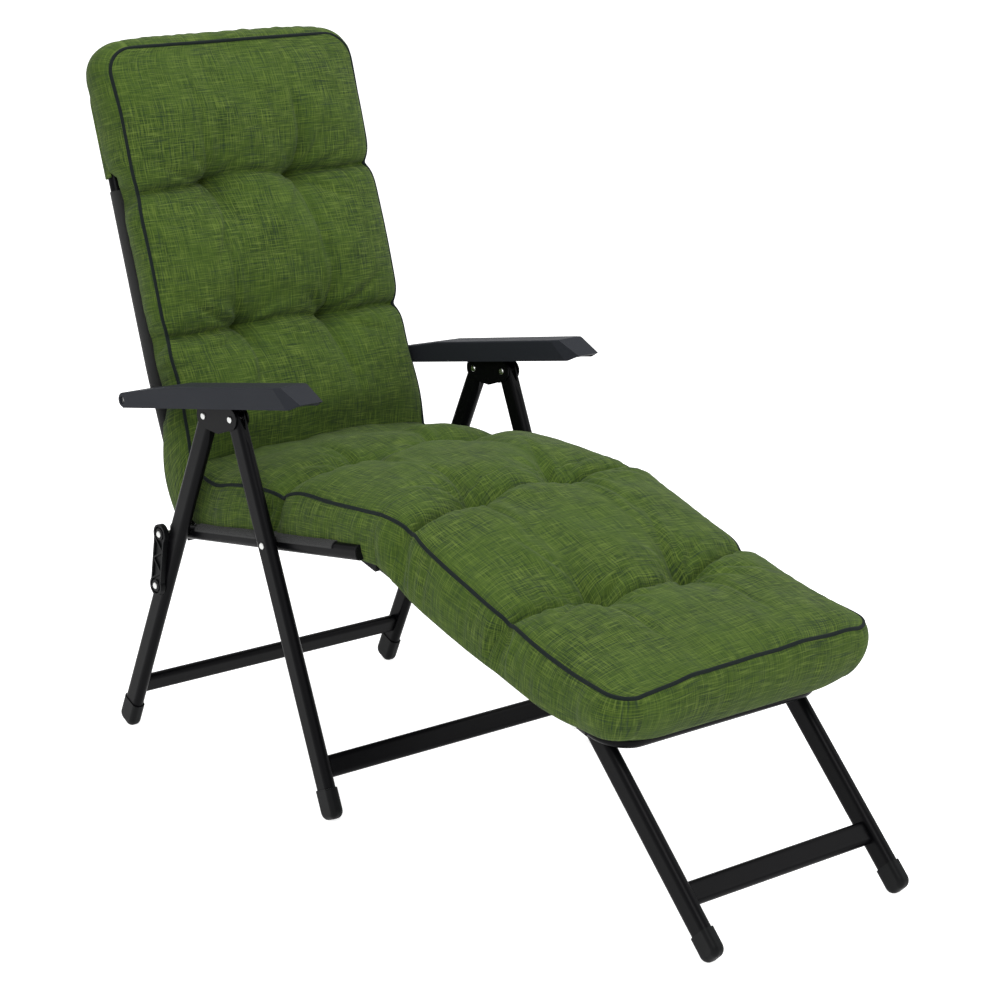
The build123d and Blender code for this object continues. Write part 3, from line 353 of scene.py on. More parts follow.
# Piping cloth
# Bias-cut strip of a darker blue-green cloth sewn round a cord in the cushion's edge seams.
# Its twill lines lie about 1.5 mm apart and keep the cord from shining.
twill_per_metre = 300.0
piping_cloth, tree = new_material("dark green bias piping")
twill = add_node(
    tree,
    "ShaderNodeTexWave",
    {"bands_direction": "DIAGONAL", "Scale": twill_per_metre, "Distortion": 1.0},
    {"Vector": add_node(tree, "ShaderNodeUVMap", {"uv_map": "cloth"}).outputs["UV"]},
)
relief = add_node(
    tree, "ShaderNodeBump", {"Strength": 0.4, "Distance": 0.0004}, {"Height": twill.outputs["Fac"]}
)
cloth = add_node(
    tree,
    "ShaderNodeBsdfPrincipled",
    {"Base Color": linear("#151d1c"), "Roughness": 0.8, "Sheen Weight": 0.02, "Specular IOR Level": 0.12},
    {"Normal": relief.outputs[0]},
)
add_node(tree, "ShaderNodeOutputMaterial", links={"Surface": cloth.outputs[0]})

# Cushion
# One long cushion in three runs, a slub-weave cover round loose fibre filling: crowned
# pillows between rows of two deep tufts, a boxed edge, and piping round the top panel.
# The frame's own joints place it: on the back tubes, on the seat's sling and on the footrest's.
recline_at = joint_at["recline"][1:]
seat_at = joint_at["seat_turn"][1:]
arm_at = joint_at["armrest_bolt_turn"][1:]
knee_at = joint_at["footrest_tilt"][1:]


def unit(v):
    """Vectors at length one."""
    return v / np.linalg.norm(v, axis=-1, keepdims=True)


def turned(v):
    """Side-view vectors turned a quarter turn from +Y towards +Z."""
    return np.stack([-v[..., 1], v[..., 0]], axis=-1)


def through(x, *points):
    """A smooth curve through (place, value) points: cubic pieces, each point's slope weighed
    from the slopes of the chords beside it."""
    xs, ys = np.array(points, float).T
    steps = np.diff(xs)
    rises = np.diff(ys) / steps
    inner = (rises[:-1] * steps[1:] + rises[1:] * steps[:-1]) / (steps[1:] + steps[:-1])
    slopes = np.concatenate([rises[:1], inner, rises[-1:]])
    piece = np.clip(np.searchsorted(xs, x, side="right") - 1, 0, len(steps) - 1)
    width = steps[piece]
    part = (x - xs[piece]) / width
    return (
        ys[piece] * (1 + 2 * part) * (1 - part) ** 2
        + slopes[piece] * width * part * (1 - part) ** 2
        + ys[piece + 1] * part**2 * (3 - 2 * part)
        - slopes[piece + 1] * width * part**2 * (1 - part)
    )


def bump(x, centre, reach, power=2.0):
    """1 at the centre, falling to 1/e at a reach to either side."""
    return np.exp(-((np.abs(x - centre) / reach) ** power))


back_up = unit(arm_at - recline_at)
back_front = turned(back_up)
seat_ahead = unit(seat_at - recline_at)
seat_up = -turned(seat_ahead)
footrest_slope = radians(15.5)
footrest_ahead = np.array([-cos(footrest_slope), -sin(footrest_slope)])
footrest_up = -turned(footrest_ahead)
hinge_over_rail = 0.0182
footrest_start = knee_at - footrest_up * hinge_over_rail
bend_after, bend_radius, bend_turn = 0.266, 0.600, radians(3.5)
bend_tangent = bend_radius * tan(bend_turn / 2)


def on_back(length, out):
    """Places in front of the back tubes: straight, then round the slight bend, then straight again."""
    length, out = np.asarray(length, float), np.asarray(out, float)[..., None]
    round_bend = np.clip((length - bend_after + bend_tangent) / (2 * bend_tangent), 0, 1)
    angle = (round_bend * bend_turn)[..., None]
    first = np.minimum(length, bend_after - bend_tangent)[..., None]
    last = np.maximum(length - bend_after - bend_tangent, 0)[..., None]
    heading = np.cos(angle) * back_up + np.sin(angle) * back_front
    arc = bend_radius * (np.sin(angle) * back_up + (1 - np.cos(angle)) * back_front)
    return recline_at + first * back_up + arc + last * heading + turned(heading) * out


def on_seat(ahead, above):
    """Places above the seat rails' centre line."""
    return recline_at + np.asarray(ahead)[..., None] * seat_ahead + np.asarray(above)[..., None] * seat_up


def on_footrest(ahead, above):
    """Places above the footrest rails' centre line."""
    above = np.asarray(above)[..., None]
    return footrest_start + np.asarray(ahead)[..., None] * footrest_ahead + above * footrest_up


def soft_noise(x, y, size, seed):
    """A sum of nine plane waves of about one wavelength in random directions, from about -1 to 1."""
    waves = 9
    draw = np.random.default_rng(seed)
    angle = draw.uniform(0, 2 * pi, waves)
    wave = size * draw.uniform(0.7, 1.5, waves)
    start = draw.uniform(0, 2 * pi, waves)
    across = (x[..., None] * np.cos(angle) + y[..., None] * np.sin(angle)) * 2 * pi / wave
    return np.sin(across + start).sum(-1) / (waves / 2)


def quad_grid(rows, columns, closed=False):
    """Corner numbers of the quads of a grid; closed joins its last column to its first."""
    index = np.arange(rows * columns).reshape(rows, columns)
    beside = np.roll(index, -1, 1)
    quads = np.stack([index[:-1], beside[:-1], beside[1:], index[1:]], axis=-1)
    return (quads if closed else quads[:, :-1]).reshape(-1, 4)


def grid_uv(u, v):
    """One UV pair for each corner of each quad of a grid with these column and row places."""
    left, low = np.meshgrid(u[:-1], v[:-1])
    right, high = np.meshgrid(u[1:], v[1:])
    corners = [np.stack(pair, -1) for pair in ((left, low), (right, low), (right, high), (left, high))]
    return np.stack(corners, axis=2).reshape(-1, 2)


def gone_along(path):
    """The distance gone at each point of a path, 0 at its first."""
    return np.concatenate([[0], np.cumsum(np.linalg.norm(np.diff(path, axis=0), axis=1))])


def cloth_piece(name, points, quads, uv, material, closed=True):
    """A smooth mesh with a cloth UV map, its doubled points merged and its faces turned outwards."""
    merge_under = 0.00002
    mesh = bpy.data.meshes.new(name)
    mesh.from_pydata(points.reshape(-1, 3).tolist(), [], quads.tolist())
    layer = mesh.uv_layers.new(name="cloth")
    layer.data.foreach_set("uv", uv.reshape(-1).astype(np.float32))
    work = bmesh.new()
    work.from_mesh(mesh)
    bmesh.ops.remove_doubles(work, verts=work.verts, dist=merge_under)
    if closed:
        bmesh.ops.holes_fill(work, edges=[edge for edge in work.edges if edge.is_boundary], sides=0)
    bmesh.ops.recalc_face_normals(work, faces=work.faces)
    work.to_mesh(mesh)
    work.free()
    mesh.polygons.foreach_set("use_smooth", np.ones(len(mesh.polygons), bool))
    mesh.materials.append(material)
    made = bpy.data.objects.new(name, mesh)
    bpy.context.scene.collection.objects.link(made)
    return made


# Each row has two tufts, this far to the left and the right of the middle. The left side is +X.
tuft_side = 0.086
left_right = (1, -1)
top_steps, box_steps = 136, 20

# Waves in the angle round a tuft that ripple its slope: how many, and their share
tuft_ripples = ((5, 0.8), (9, 1.0), (14, 0.7))

# Creases that run out from a tuft: a direction, 0 being outwards and a quarter turn being along
# the cushion, the way it turns off that by an angle drawn between two, and length, depth and width
tuft_creases = (
    (0.0, 1, 0.20, 0.50, 0.150, 0.0085, 0.0060),
    (0.0, -1, 0.30, 0.60, 0.125, 0.0068, 0.0056),
    (pi / 2, 1, -0.30, 0.05, 0.175, 0.0100, 0.0062),
    (-pi / 2, 1, -0.10, 0.30, 0.175, 0.0100, 0.0062),
    (0.0, 1, 0.80, 1.15, 0.100, 0.0056, 0.0050),
    (0.0, -1, 0.90, 1.25, 0.100, 0.0056, 0.0050),
    (pi, -1, 0.40, 0.70, 0.080, 0.0048, 0.0048),
    (pi, 1, 0.40, 0.70, 0.080, 0.0048, 0.0048),
)

# Pleats of the boxing where a row meets it: the way each leans, by how much, and its width
side_pleats = ((1, 0.010, 0.022, 0.0045), (-1, 0.012, 0.026, 0.0050))


def tuft_drop(out, on, depth, across, draw):
    """How far one tuft draws the top down, out being outwards and on along the cushion from it.

    Two funnels share its depth, a narrow one that is steepest at the tuft and a wide round one.
    Waves in the angle ripple the slope. The creases are grooves that wander a little, fade along
    their length and have a soft lip on one side.
    """
    narrow_share, narrow_reach, wide_share, wide_reach = 0.62, 0.020, 0.38, 0.056
    ripple_height, ripple_at, ripple_reach = 0.0028, 0.028, 0.036
    away = np.hypot(out, on) + 1e-6
    angle = np.arctan2(on, out)
    ripples = sum(share * np.cos(count * angle + draw.uniform(0, 2 * pi)) for count, share in tuft_ripples)
    narrow = narrow_share * np.exp(-((away / narrow_reach) ** 1.1))
    wide_round = wide_share * np.exp(-((away / wide_reach) ** 1.7))
    drop = depth * (narrow + wide_round)
    drop = drop - ripple_height * ripples * (away / ripple_at) * np.exp(-((away / ripple_reach) ** 1.3))
    for aim, turn, least, most, length, deep, wide in tuft_creases:
        way = aim + turn * draw.uniform(least, most)
        reach = out * cos(way) + on * sin(way)
        beside = on * cos(way) - out * sin(way) + 0.006 * np.sin(reach / 0.032)
        fade = deep * np.clip(reach / 0.012, 0, 1) * np.clip(1 - reach / length, 0, 1) ** 0.8
        groove = fade * bump(beside, 0, wide, 1.2) * np.minimum(1, across * 1.6)
        lip = 0.50 * fade * bump(beside, wide * 2.3, wide * 1.6) * across
        drop = drop + groove - lip
    return drop


def row_drop(x, s, side, across, half, crown, row, leads, drawn, seed):
    """How far a row of tufts draws the top down at x across and s along, less its tufts' own drop.

    gap is the distance along from the row's crease, which bows between the tufts, leads on from
    them to the piping and wanders. The crown sinks by shares of its height in a broad valley and
    a narrow one. The crease is sharp and deeper outside the tufts, with ruffled cloth beside it,
    and the filling sinks in a column through each tuft.
    """
    bow_width, wander_width, wander_size = 0.010, 0.006, 0.21
    sinking_crown, broad_share, broad_reach, narrow_share, narrow_reach = 0.038, 0.24, 0.066, 0.36, 0.020
    column_depth, column_reach, flank_depth, flank_reach, sunk_reach = 0.0055, 0.013, 0.0045, 0.034, 0.125
    groove_depth, groove_more, groove_reach, groove_turn = 0.0100, 0.0070, 0.0054, 0.006
    ruffle_height, ruffle_reach, coarse_size, fine_size = 0.0016, 0.030, 0.021, 0.012
    inside = np.abs(x) < tuft_side
    wander = wander_width * across * soft_noise(x, 0 * s, wander_size, seed + 40 + drawn)
    bow = bow_width * (1 - (x / tuft_side) ** 2) * inside
    lead = np.where(x > 0, leads[1], leads[-1]) * np.clip((np.abs(x) - tuft_side) / (half - tuft_side), 0, 1)
    gap = s - row - wander - lead - bow
    broad = broad_share * bump(gap, 0, broad_reach, 1.8)
    narrow = narrow_share * bump(gap, 0, narrow_reach, 1.0)
    valley = np.minimum(crown * across, sinking_crown) * (broad + narrow)
    column = column_depth * bump(np.abs(x), tuft_side, column_reach, 1.2)
    column = column + flank_depth * bump(np.abs(x), tuft_side, flank_reach, 1.8)
    sunk = across * bump(s - row, 0, sunk_reach) * column
    outside = 1 / (1 + np.exp(-(np.abs(x) - tuft_side) / groove_turn))
    near_piping = np.minimum(1, (1 - side) / 0.06 + 0.35)
    crease = bump(gap, 0, groove_reach, 1.1) * (groove_depth + groove_more * outside) * near_piping
    coarse = soft_noise(x, s * 0.35, coarse_size, seed + 60 + drawn)
    fine = soft_noise(x, s * 0.35, fine_size, seed + 80 + drawn)
    ruffle = ruffle_height * (coarse + 0.6 * fine) * bump(gap, 0, ruffle_reach, 1.3)
    ruffle = ruffle * np.minimum(1, across * 1.5)
    return valley + sunk + crease - ruffle


def by_side(lateral, values):
    """Values along the left and the right side, each spread over its half of the rings."""
    return np.where(lateral[None, :] > 0, values[1][:, None], values[-1][:, None])


def cushion_run(
    name, low, high, along, half, tufts, crown, skirt, swell, ends, seed, cant=0.0, sag=0.0, corner=0.0
):
    """A closed cushion on a grid: one ring across it for each place along it.

    low and high are the side-view lines of its base and of its piping, along is the cloth's length
    and half its half width. The top rises over the piping by a crown that is full in the middle
    and steep at the edge, with soft lumps, less what the rows and their tufts draw down, and with
    small gathers at the piping. The crown's cloth sags downhill by a share of its rise. The boxed
    sides swell between the rows and pleat at them, and their lower edge hangs down, or is drawn
    up, by a skirt. cant lifts the left side's piping. The last ring's corners are rounded, and a
    panel that swells closes each end. Each row of tufts is its place, its depth, how far its
    crease leads on at the right and the left piping, and a number that draws its folds.
    """
    pinch_reach, near_reach = 0.017, 0.050
    piping_inset, pinched_rim = 0.005, 0.008
    base_inset, pinched_base = 0.010, 0.003
    overhang, pinched_overhang, full_overhang_at = 0.0115, 0.002, 0.004
    large_lump, large_size, small_lump, small_size = 0.0042, 0.19, 0.0017, 0.070
    gather_height, gather_size, gather_fade, gather_start = 0.0015, 0.016, 0.020, 0.003
    pinched_piping, pleat_depth = 0.0055, 0.0080
    wrinkle_height, pinched_wrinkle, wrinkle_size = 0.0011, 0.0036, 0.021
    billow_height, billow_size = 0.0026, 0.09
    half, swell, cant = (value + 0 * along for value in (half, swell, cant))
    up = unit(high - low)
    uphill = unit(np.gradient(high, axis=0))
    met_at = {1: [row + left for row, depth, right, left, drawn in tufts]}
    met_at[-1] = [row + right for row, depth, right, left, drawn in tufts]
    pinch, near = {}, {}
    for sign in left_right:
        pinch[sign] = sum(bump(along, place, pinch_reach, 1.5) for place in met_at[sign])
        near[sign] = sum(bump(along, place, near_reach, 1.6) for place in met_at[sign])
    turn = np.arcsin(np.clip((along - along[-1] + corner) / corner, 0, 1)) if corner else 0 * along
    round_in = corner * (1 - np.cos(turn))
    hangs = np.clip(skirt / full_overhang_at, 0, 1)
    rim, foot = {}, {}
    for sign in left_right:
        rim[sign] = half - piping_inset - pinched_rim * pinch[sign] - round_in
        tucked = half - base_inset - pinched_base * pinch[sign] - round_in
        foot[sign] = tucked + hangs * (overhang + pinched_overhang * pinch[sign])

    # lateral goes from 1 at the left piping to -1 at the right, in finer steps near both
    lateral = np.linspace(1, -1, top_steps + 1)
    lateral = 0.55 * lateral + 0.45 * np.sin(lateral * pi / 2)
    side = np.abs(lateral)[None, :]
    x = lateral[None, :] * by_side(lateral, rim)
    s = along[:, None] + 0 * x
    across = (1 - side**2.8) ** 0.56
    lumps = large_lump * soft_noise(x, s, large_size, seed)
    lumps = lumps + small_lump * soft_noise(x, s, small_size, seed + 1)
    rise = (crown[:, None] + lumps) * across
    for row, depth, right, left, drawn in tufts:
        leads = {1: left, -1: right}
        rise = rise - row_drop(x, s, side, across, half[:, None], crown[:, None], row, leads, drawn, seed)
        for sign in left_right:
            draw = np.random.default_rng(drawn * 7 + sign)
            rise = rise - tuft_drop(sign * x - tuft_side, s - row, depth, across, draw)
    inward = np.minimum((1 - side) * half[:, None], 0.2)
    gathers = soft_noise(s, x * 0.12, gather_size, seed + 2) * (0.45 + by_side(lateral, near))
    at_edge = np.exp(-inward / gather_fade)
    rise = rise + gather_height * gathers * at_edge * (1 - np.exp(-inward / gather_start))
    lift = cant[:, None] * (0.5 + 0.5 * lateral[None, :])
    drawn_down = pinched_piping * by_side(lateral, pinch) * side**2
    raised = (rise + lift - drawn_down)[..., None] * up[:, None, :]
    sagged = (sag * rise)[..., None] * uphill[:, None, :]
    top = np.concatenate([x[..., None], high[:, None, :] + raised - sagged], axis=2)

    steep = np.clip((side - 0.975) / 0.015, 0, 1)
    gentle = np.clip((side - 0.70) / 0.28, 0, 1) ** 2
    hang = (np.where(skirt[:, None] > 0, steep, gentle) * skirt[:, None])[..., None] * up[:, None, :]
    x = lateral[None, :] * by_side(lateral, foot)
    base = np.concatenate([x[..., None], low[:, None, :] - hang], axis=2)

    # down goes from 0 at the piping to 1 at the base
    down = np.linspace(0, 1, box_steps + 2)
    arch = np.sin(pi * down**0.85).clip(0, 1) ** 0.75
    s = along[:, None] + 0 * down
    strips, swells = {}, {}
    for sign, edge in zip(left_right, (0, -1)):
        draw = np.random.default_rng(seed * 3 + sign)
        wrinkles = soft_noise(s, down * 0.010 + 0 * s, wrinkle_size, seed + 5 + sign)
        billows = soft_noise(s, down * 0.05 + 0 * s, billow_size, seed + 9 + sign)
        wrinkled = (wrinkle_height + pinched_wrinkle * near[sign])[:, None]
        out = (swell * (1 - 0.9 * pinch[sign]))[:, None]
        out = out + wrinkled * wrinkles + billow_height * billows
        for place in met_at[sign]:
            for way, least, most, wide in side_pleats:
                lean = way * draw.uniform(least, most) * (0.3 + down)
                out = out - pleat_depth * bump(s - place - lean, 0, wide, 1.3) * (1 - down) ** 0.5
        out = out * arch
        swells[sign] = out[-1]
        strip = top[:, edge, None] * (1 - down)[:, None] + base[:, edge, None] * down[:, None]
        strip[..., 0] += sign * out * np.cos(turn)[:, None]
        strip[..., 1:] += (out * np.sin(turn)[:, None])[..., None] * uphill[:, None, :]
        strips[sign] = strip[:, 1:-1]

    # Ring order: top from left to right, the right side down, the base back, the left side up
    ring = np.concatenate([top, strips[-1], base[:, ::-1], strips[1][:, ::-1]], axis=1)
    widest = ring[len(along) // 2]
    uv = [grid_uv(gone_along(np.append(widest, widest[:1], axis=0)), along)]
    points, quads = [ring.reshape(-1, 3)], [quad_grid(len(ring), ring.shape[1], True)]
    for end, way, bulge in ((0, -uphill[0], ends[0]), (-1, uphill[-1], ends[1])):
        panel = top[end] * (1 - down)[:, None, None] + base[end] * down[:, None, None]
        to_edge = np.abs(lateral) ** 6
        if end == -1 and corner:
            puckers = 1 + 0.05 * soft_noise(top[end, :, 0], 0 * lateral, 0.028, seed + 17)
            beside = np.where(lateral > 0, swells[1][:, None], swells[-1][:, None])
            puff = arch[:, None] * bulge * puckers * (1 - to_edge) + beside * to_edge
        else:
            puff = arch[:, None] * bulge * (1 - to_edge)
            for sign, edge in zip(left_right, (0, -1)):
                own_half = lateral * sign > 0
                swollen = strips[sign][end, :, 0] - panel[1:-1, edge, 0]
                panel[1:-1, own_half, 0] += swollen[:, None] * to_edge[own_half]
        panel[..., 1:] += puff[..., None] * way
        width = np.concatenate([[0], np.cumsum(np.abs(np.diff(top[end, :, 0])))])
        onwards = 0.06 * down if end else -0.06 * down
        quads.append(quad_grid(*panel.shape[:2]) + sum(len(done) for done in points))
        points.append(panel.reshape(-1, 3))
        uv.append(grid_uv(width, along[end] + onwards))
    made = cloth_piece(name, *(np.concatenate(each) for each in (points, quads, uv)), cushion_cloth)
    return made, top


def piping(name, path, body, radius=0.0031, sides=12):
    """A cord along a path, resampled every 2.5 mm and softened over seven points: each ring is a
    circle square to the path."""
    spacing, soften = 0.0025, 3
    run = gone_along(path)
    even = np.linspace(0, run[-1], int(run[-1] / spacing))
    path = np.stack([np.interp(even, run, path[:, k]) for k in range(3)], axis=1)
    longer = np.pad(path, ((soften, soften), (0, 0)), mode="reflect", reflect_type="odd")
    window = 2 * soften + 1
    path = sum(longer[k : k + len(path)] for k in range(window)) / window
    along = unit(np.gradient(path, axis=0))
    beside = unit(np.cross(along, np.array([0.3, 0.2, 1.0])))
    over = np.cross(beside, along)
    angle = np.linspace(0, 2 * pi, sides, endpoint=False)[None, :, None]
    circle = radius * (np.cos(angle) * beside[:, None, :] + np.sin(angle) * over[:, None, :])
    uv = grid_uv(np.arange(sides + 1) * (2 * pi * radius / sides), even)
    made = cloth_piece(name, path[:, None, :] + circle, quad_grid(len(path), sides, True), uv, piping_cloth)
    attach(made, body)


def round_edge(top):
    """The top panel's edge: along its left side, across its last end and back along the right."""
    return np.concatenate([top[:, 0], top[-1, 1:-1], top[::-1, -1]])


def round_spaced(start, end, count, corner):
    """Places from start to end: even, then closer and closer round the corner at the end."""
    turn = np.linspace(0, pi / 2, 16)[1:]
    return np.concatenate([np.linspace(start, end - corner, count), end - corner + corner * np.sin(turn)])


def measured(point, origin, ahead, up):
    """A side-view point's distance ahead of an origin and above it."""
    return float((point - origin) @ ahead), float((point - origin) @ up)


# Where the runs meet: a mitre at the seat's crease, and one at the knees
steps_along = 190
cushion_half = 0.248
crease_from, crease_height, crease_depth, crease_lean = 0.094, 0.0585, 0.068, radians(109)
knee_from, knee_height, knee_depth = 0.555, 0.0595, 0.052
crease_up = np.array([cos(crease_lean), sin(crease_lean)])
crease_top = on_back(crease_from, crease_height)
crease_low = crease_top - crease_depth * crease_up
knee_up = unit(seat_up + footrest_up)
knee_top = on_seat(knee_from, knee_height)
knee_low = knee_top - knee_depth * knee_up

# Back run: from the seat crease to the head, where it widens and swells
first_row = (0.318, 0.036, 0.0, 0.0, 11)
second_row = (0.567, 0.046, -0.006, 0.006, 12)
start = measured(crease_top, recline_at, back_up, back_front)[0]
base_start = measured(crease_low, recline_at, back_up, back_front)[0]
head_end, head_corner = 0.806, 0.047
mitre_length = 0.12
length = round_spaced(start, head_end, steps_along, head_corner)
base_length = length - (start - base_start) * np.clip(1 - (length - start) / mitre_length, 0, 1) ** 1.5
low = through(base_length, (base_start, 0.0145), (0.08, 0.0125), (0.12, 0.0123), (head_end, 0.0123))
high = through(
    length,
    (start, crease_height),
    (0.14, 0.068),
    (0.21, 0.0725),
    (0.319, 0.0700),
    (0.445, 0.0725),
    (0.571, 0.0700),
    (0.695, 0.0725),
    (head_end, 0.0685),
)
crown = through(
    length,
    (start, 0.020),
    (0.13, 0.034),
    (0.20, 0.040),
    (0.319, 0.040),
    (0.445, 0.041),
    (0.571, 0.040),
    (0.66, 0.038),
    (0.74, 0.030),
    (head_end, 0.010),
)

# The boxing hangs down behind the armrests, beside the seat's crease, and a little behind the head
skirt = 0.042 * bump(length, 0.112, 0.055, 3.0) + 0.012 * np.clip((length - 0.60) / 0.04, 0, 1)
head = np.clip((length - 0.70) / 0.08, 0, 1)
back_cushion, top = cushion_run(
    "back_cushion_cover",
    low=on_back(base_length, low),
    high=on_back(length, high),
    along=length,
    half=cushion_half - 0.004 * bump(length, 0.232, 0.05) + 0.004 * head,
    tufts=(first_row, second_row),
    crown=crown,
    skirt=np.where(skirt < 0.0005, 0, skirt),
    swell=0.0095 + 0.0070 * head,
    ends=(0.002, 0.022),
    seed=11,
    sag=0.14,
    corner=head_corner,
)
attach(back_cushion, "back")
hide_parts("back_cushion")
piping("back_cushion_piping", round_edge(top), "back")

# Seat run: from the crease at the back to the knees; its cloth and folds run on over the knees
third_row = (0.298, 0.040, -0.010, -0.024, 23)
fourth_row = (0.586, 0.044, 0.036, 0.010, 24)
fifth_row = (0.885, 0.044, -0.015, -0.030, 25)
seat_seed = 23
crease_ahead, crease_above = measured(crease_top, recline_at, seat_ahead, seat_up)
low_ahead, low_above = measured(crease_low, recline_at, seat_ahead, seat_up)
knee_low_ahead, knee_low_above = measured(knee_low, recline_at, seat_ahead, seat_up)
part = np.linspace(0, 1, steps_along)
ahead = crease_ahead + part * (knee_from - crease_ahead)
ahead_base = low_ahead + part * (knee_low_ahead - low_ahead)
skirt = 0.010 + 0.010 * np.clip((ahead - 0.30) / 0.14, 0, 1) + 0.008 * np.clip((ahead - 0.46) / 0.07, 0, 1)
low = through(
    ahead_base,
    (low_ahead, low_above),
    (0.05, 0.0160),
    (0.20, 0.0146),
    (0.46, 0.0146),
    (0.505, 0.0125),
    (knee_low_ahead, knee_low_above),
)
high = through(
    ahead,
    (crease_ahead, crease_above),
    (0.100, 0.0800),
    (0.150, 0.0825),
    (0.205, 0.0830),
    (0.240, 0.0805),
    (0.290, 0.0755),
    (0.345, 0.0795),
    (0.423, 0.0705),
    (0.500, 0.0640),
    (knee_from, knee_height),
)
crown = through(
    ahead,
    (crease_ahead, 0.018),
    (0.10, 0.042),
    (0.16, 0.050),
    (0.298, 0.050),
    (0.42, 0.050),
    (knee_from, 0.045),
)
seat_cushion, top = cushion_run(
    "seat_cushion_cover",
    low=on_seat(ahead_base, low),
    high=on_seat(ahead, high),
    along=ahead,
    half=cushion_half,
    tufts=(third_row, fourth_row),
    crown=crown,
    skirt=skirt,
    swell=0.0095,
    ends=(0.002, 0.002),
    seed=seat_seed,
    cant=0.008 * (np.clip((ahead - 0.10) / 0.20, 0, 1) - np.clip((ahead - 0.36) / 0.19, 0, 1)),
)
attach(seat_cushion, "seat")
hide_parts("seat_cushion")
piping("seat_cushion_piping_left", top[:, 0], "seat")
piping("seat_cushion_piping_right", top[:, -1], "seat")

# Footrest run: from the knee crease to the foot end
foot_end, foot_corner = 0.612, 0.036
knee_ahead, knee_above = measured(knee_top, footrest_start, footrest_ahead, footrest_up)
base_ahead, base_above = measured(knee_low, footrest_start, footrest_ahead, footrest_up)
length = round_spaced(knee_ahead, foot_end, steps_along, foot_corner)
part = (length - knee_ahead) / (foot_end - knee_ahead)
ahead_base = base_ahead + part * (foot_end - base_ahead)
low = through(
    ahead_base,
    (base_ahead, base_above),
    (0.10, 0.034),
    (0.135, 0.024),
    (0.221, 0.0123),
    (0.40, 0.0123),
    (0.50, 0.0150),
    (foot_end, 0.0230),
)
high = through(
    length,
    (knee_ahead, knee_above),
    (0.071, 0.1080),
    (0.110, 0.1105),
    (0.140, 0.1035),
    (0.188, 0.0975),
    (0.262, 0.0925),
    (0.320, 0.0905),
    (0.365, 0.0905),
    (0.428, 0.0880),
    (0.517, 0.0920),
    (0.567, 0.0985),
    (foot_end, 0.1030),
)
crown = through(
    length,
    (knee_ahead, 0.045),
    (0.13, 0.043),
    (0.25, 0.042),
    (0.40, 0.041),
    (0.50, 0.037),
    (0.57, 0.025),
    (foot_end, 0.008),
)
skirt = through(
    length,
    (knee_ahead, 0.028),
    (0.075, 0.020),
    (0.116, 0.015),
    (0.193, 0.0092),
    (0.294, 0.0060),
    (0.367, 0.0050),
    (0.461, 0.0040),
    (0.548, -0.0010),
    (0.597, -0.0080),
    (foot_end, -0.0100),
)
footrest_cushion, top = cushion_run(
    "footrest_cushion_cover",
    low=on_footrest(ahead_base, low),
    high=on_footrest(length, high),
    along=knee_from + length - knee_ahead,
    half=cushion_half + 0.009 * np.clip((length - 0.25) / 0.30, 0, 1),
    tufts=(fourth_row, fifth_row),
    crown=crown,
    skirt=skirt,
    swell=0.0095 + 0.0055 * np.clip((length - 0.50) / 0.08, 0, 1),
    ends=(0.002, 0.018),
    seed=seat_seed,
    cant=0.013 * np.clip((length - knee_ahead) / 0.16, 0, 1),
    corner=foot_corner,
)
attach(footrest_cushion, "footrest")
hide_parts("footrest_cushion")
piping("footrest_cushion_piping", round_edge(top), "footrest")

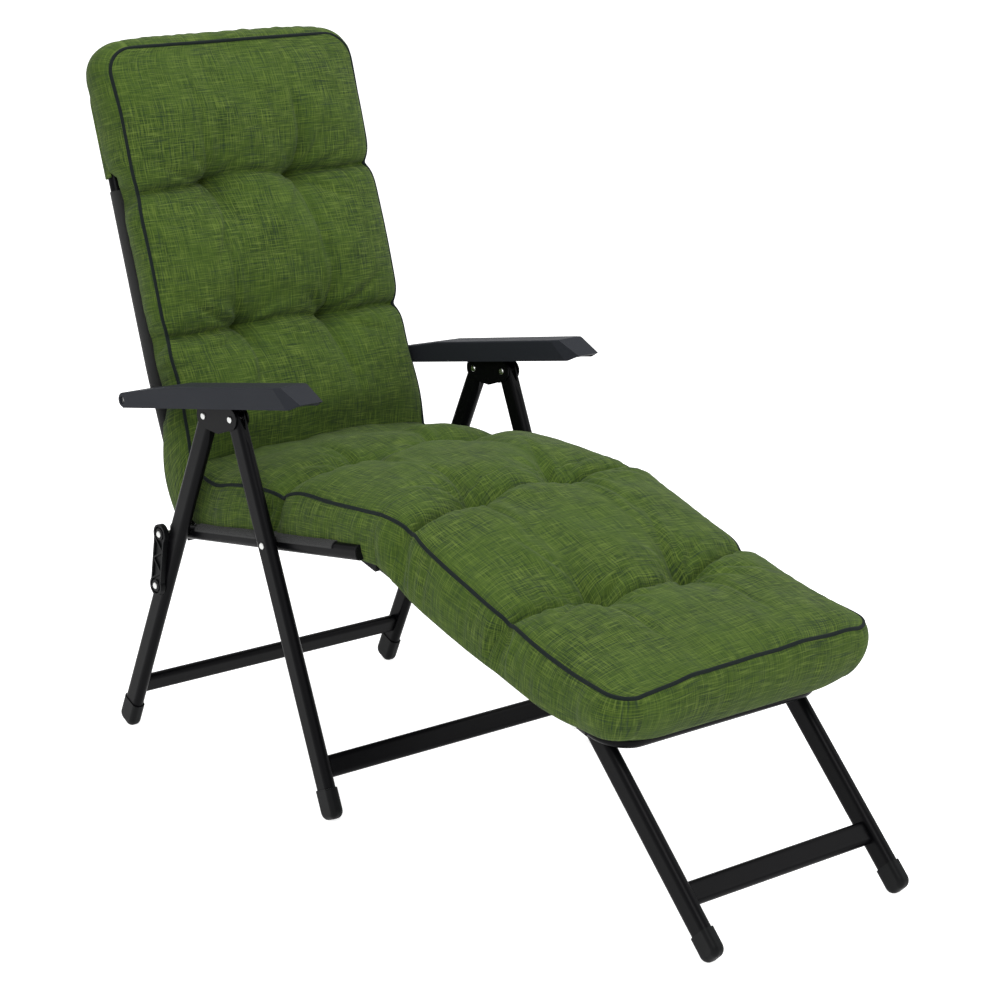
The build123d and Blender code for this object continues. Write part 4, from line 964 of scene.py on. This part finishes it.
# Hood
# A pocket of the cushion's own cloth, sewn behind its head end and pulled down over the back frame.
# It wraps the two back tubes and the top tube closely and ends in a turned hem.
hood_half, hood_depth, hood_drop = 0.2496, 0.0126, 0.187
hood_front, hood_bend = 0.0116, 0.008
hood_corner = 0.0676
back_top = on_back(0.790, 0.0)
tilt = unit(on_back(0.79, 0.0) - on_back(0.70, 0.0))
face = turned(tilt)
height = round_spaced(-hood_drop, hood_depth - hood_bend, 60, hood_corner)
gone = np.clip(height - (height[-1] - hood_corner), 0, hood_corner)
span = hood_half - (hood_corner - np.sqrt(np.maximum(hood_corner**2 - gone**2, 0)))

# Each row goes from the left tube's front round it, flat over the rear and round the right tube
bend = np.linspace(0, pi / 2, 9)
edge_x = np.concatenate([[0.0, 0.0, 0.0], -hood_bend * (1 - np.cos(bend))])
edge_out = np.concatenate([[hood_front, 0.006, 0.0], hood_bend - hood_depth - hood_bend * np.sin(bend)])
rear = np.linspace(1, -1, 41)[1:-1]
left_x = span[:, None] + edge_x[None, :]
xs = np.concatenate([left_x, rear[None, :] * (span - hood_bend)[:, None], -left_x[:, ::-1]], axis=1)
heights = height[:, None] + 0 * xs
outs = np.concatenate([edge_out, np.full(len(rear), -hood_depth), edge_out[::-1]])[None, :] + 0 * xs
slack = 0.0016 * soft_noise(xs, heights, 0.12, 71) + 0.0007 * soft_noise(xs, heights * 0.4, 0.05, 72)
on_rear = outs < 0.0002 - hood_depth
outs = outs - slack * on_rear
hem_above, hem_reach, hem_dent = 0.016, 0.0018, 0.0006
hemmed = outs < 0.004 - hood_depth
outs = outs + hem_dent * bump(heights, hem_above - hood_drop, hem_reach) * hemmed

# Over the top tube the last row turns forwards about its front edge
rows = [np.stack([xs, heights, outs], -1)]
for angle in np.linspace(0, pi / 2, 8)[1:]:
    last = rows[0][-1].copy()
    last[:, 1] += hood_bend * sin(angle)
    last[:, 2] = hood_front + (last[:, 2] - hood_front) * cos(angle)
    rows.append(last[None])
rows = np.concatenate(rows)
places = back_top + rows[..., 1:2] * tilt + rows[..., 2:3] * face
shell = np.concatenate([rows[..., :1], places], axis=-1)
rear_middle, cloth_from = 30, 1.3
run_x = gone_along(np.stack([xs[0], outs[0]], axis=-1))
run_y = gone_along(places[:, rear_middle]) + cloth_from
hood = cloth_piece(
    "head_hood_cover", shell, quad_grid(*shell.shape[:2]), grid_uv(run_x, run_y), cushion_cloth, closed=False
)
lining = hood.modifiers.new("cloth thickness", "SOLIDIFY")
lining.thickness = 0.0018
lining.offset = -1
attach(hood, "back")
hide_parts("cushion_hood")
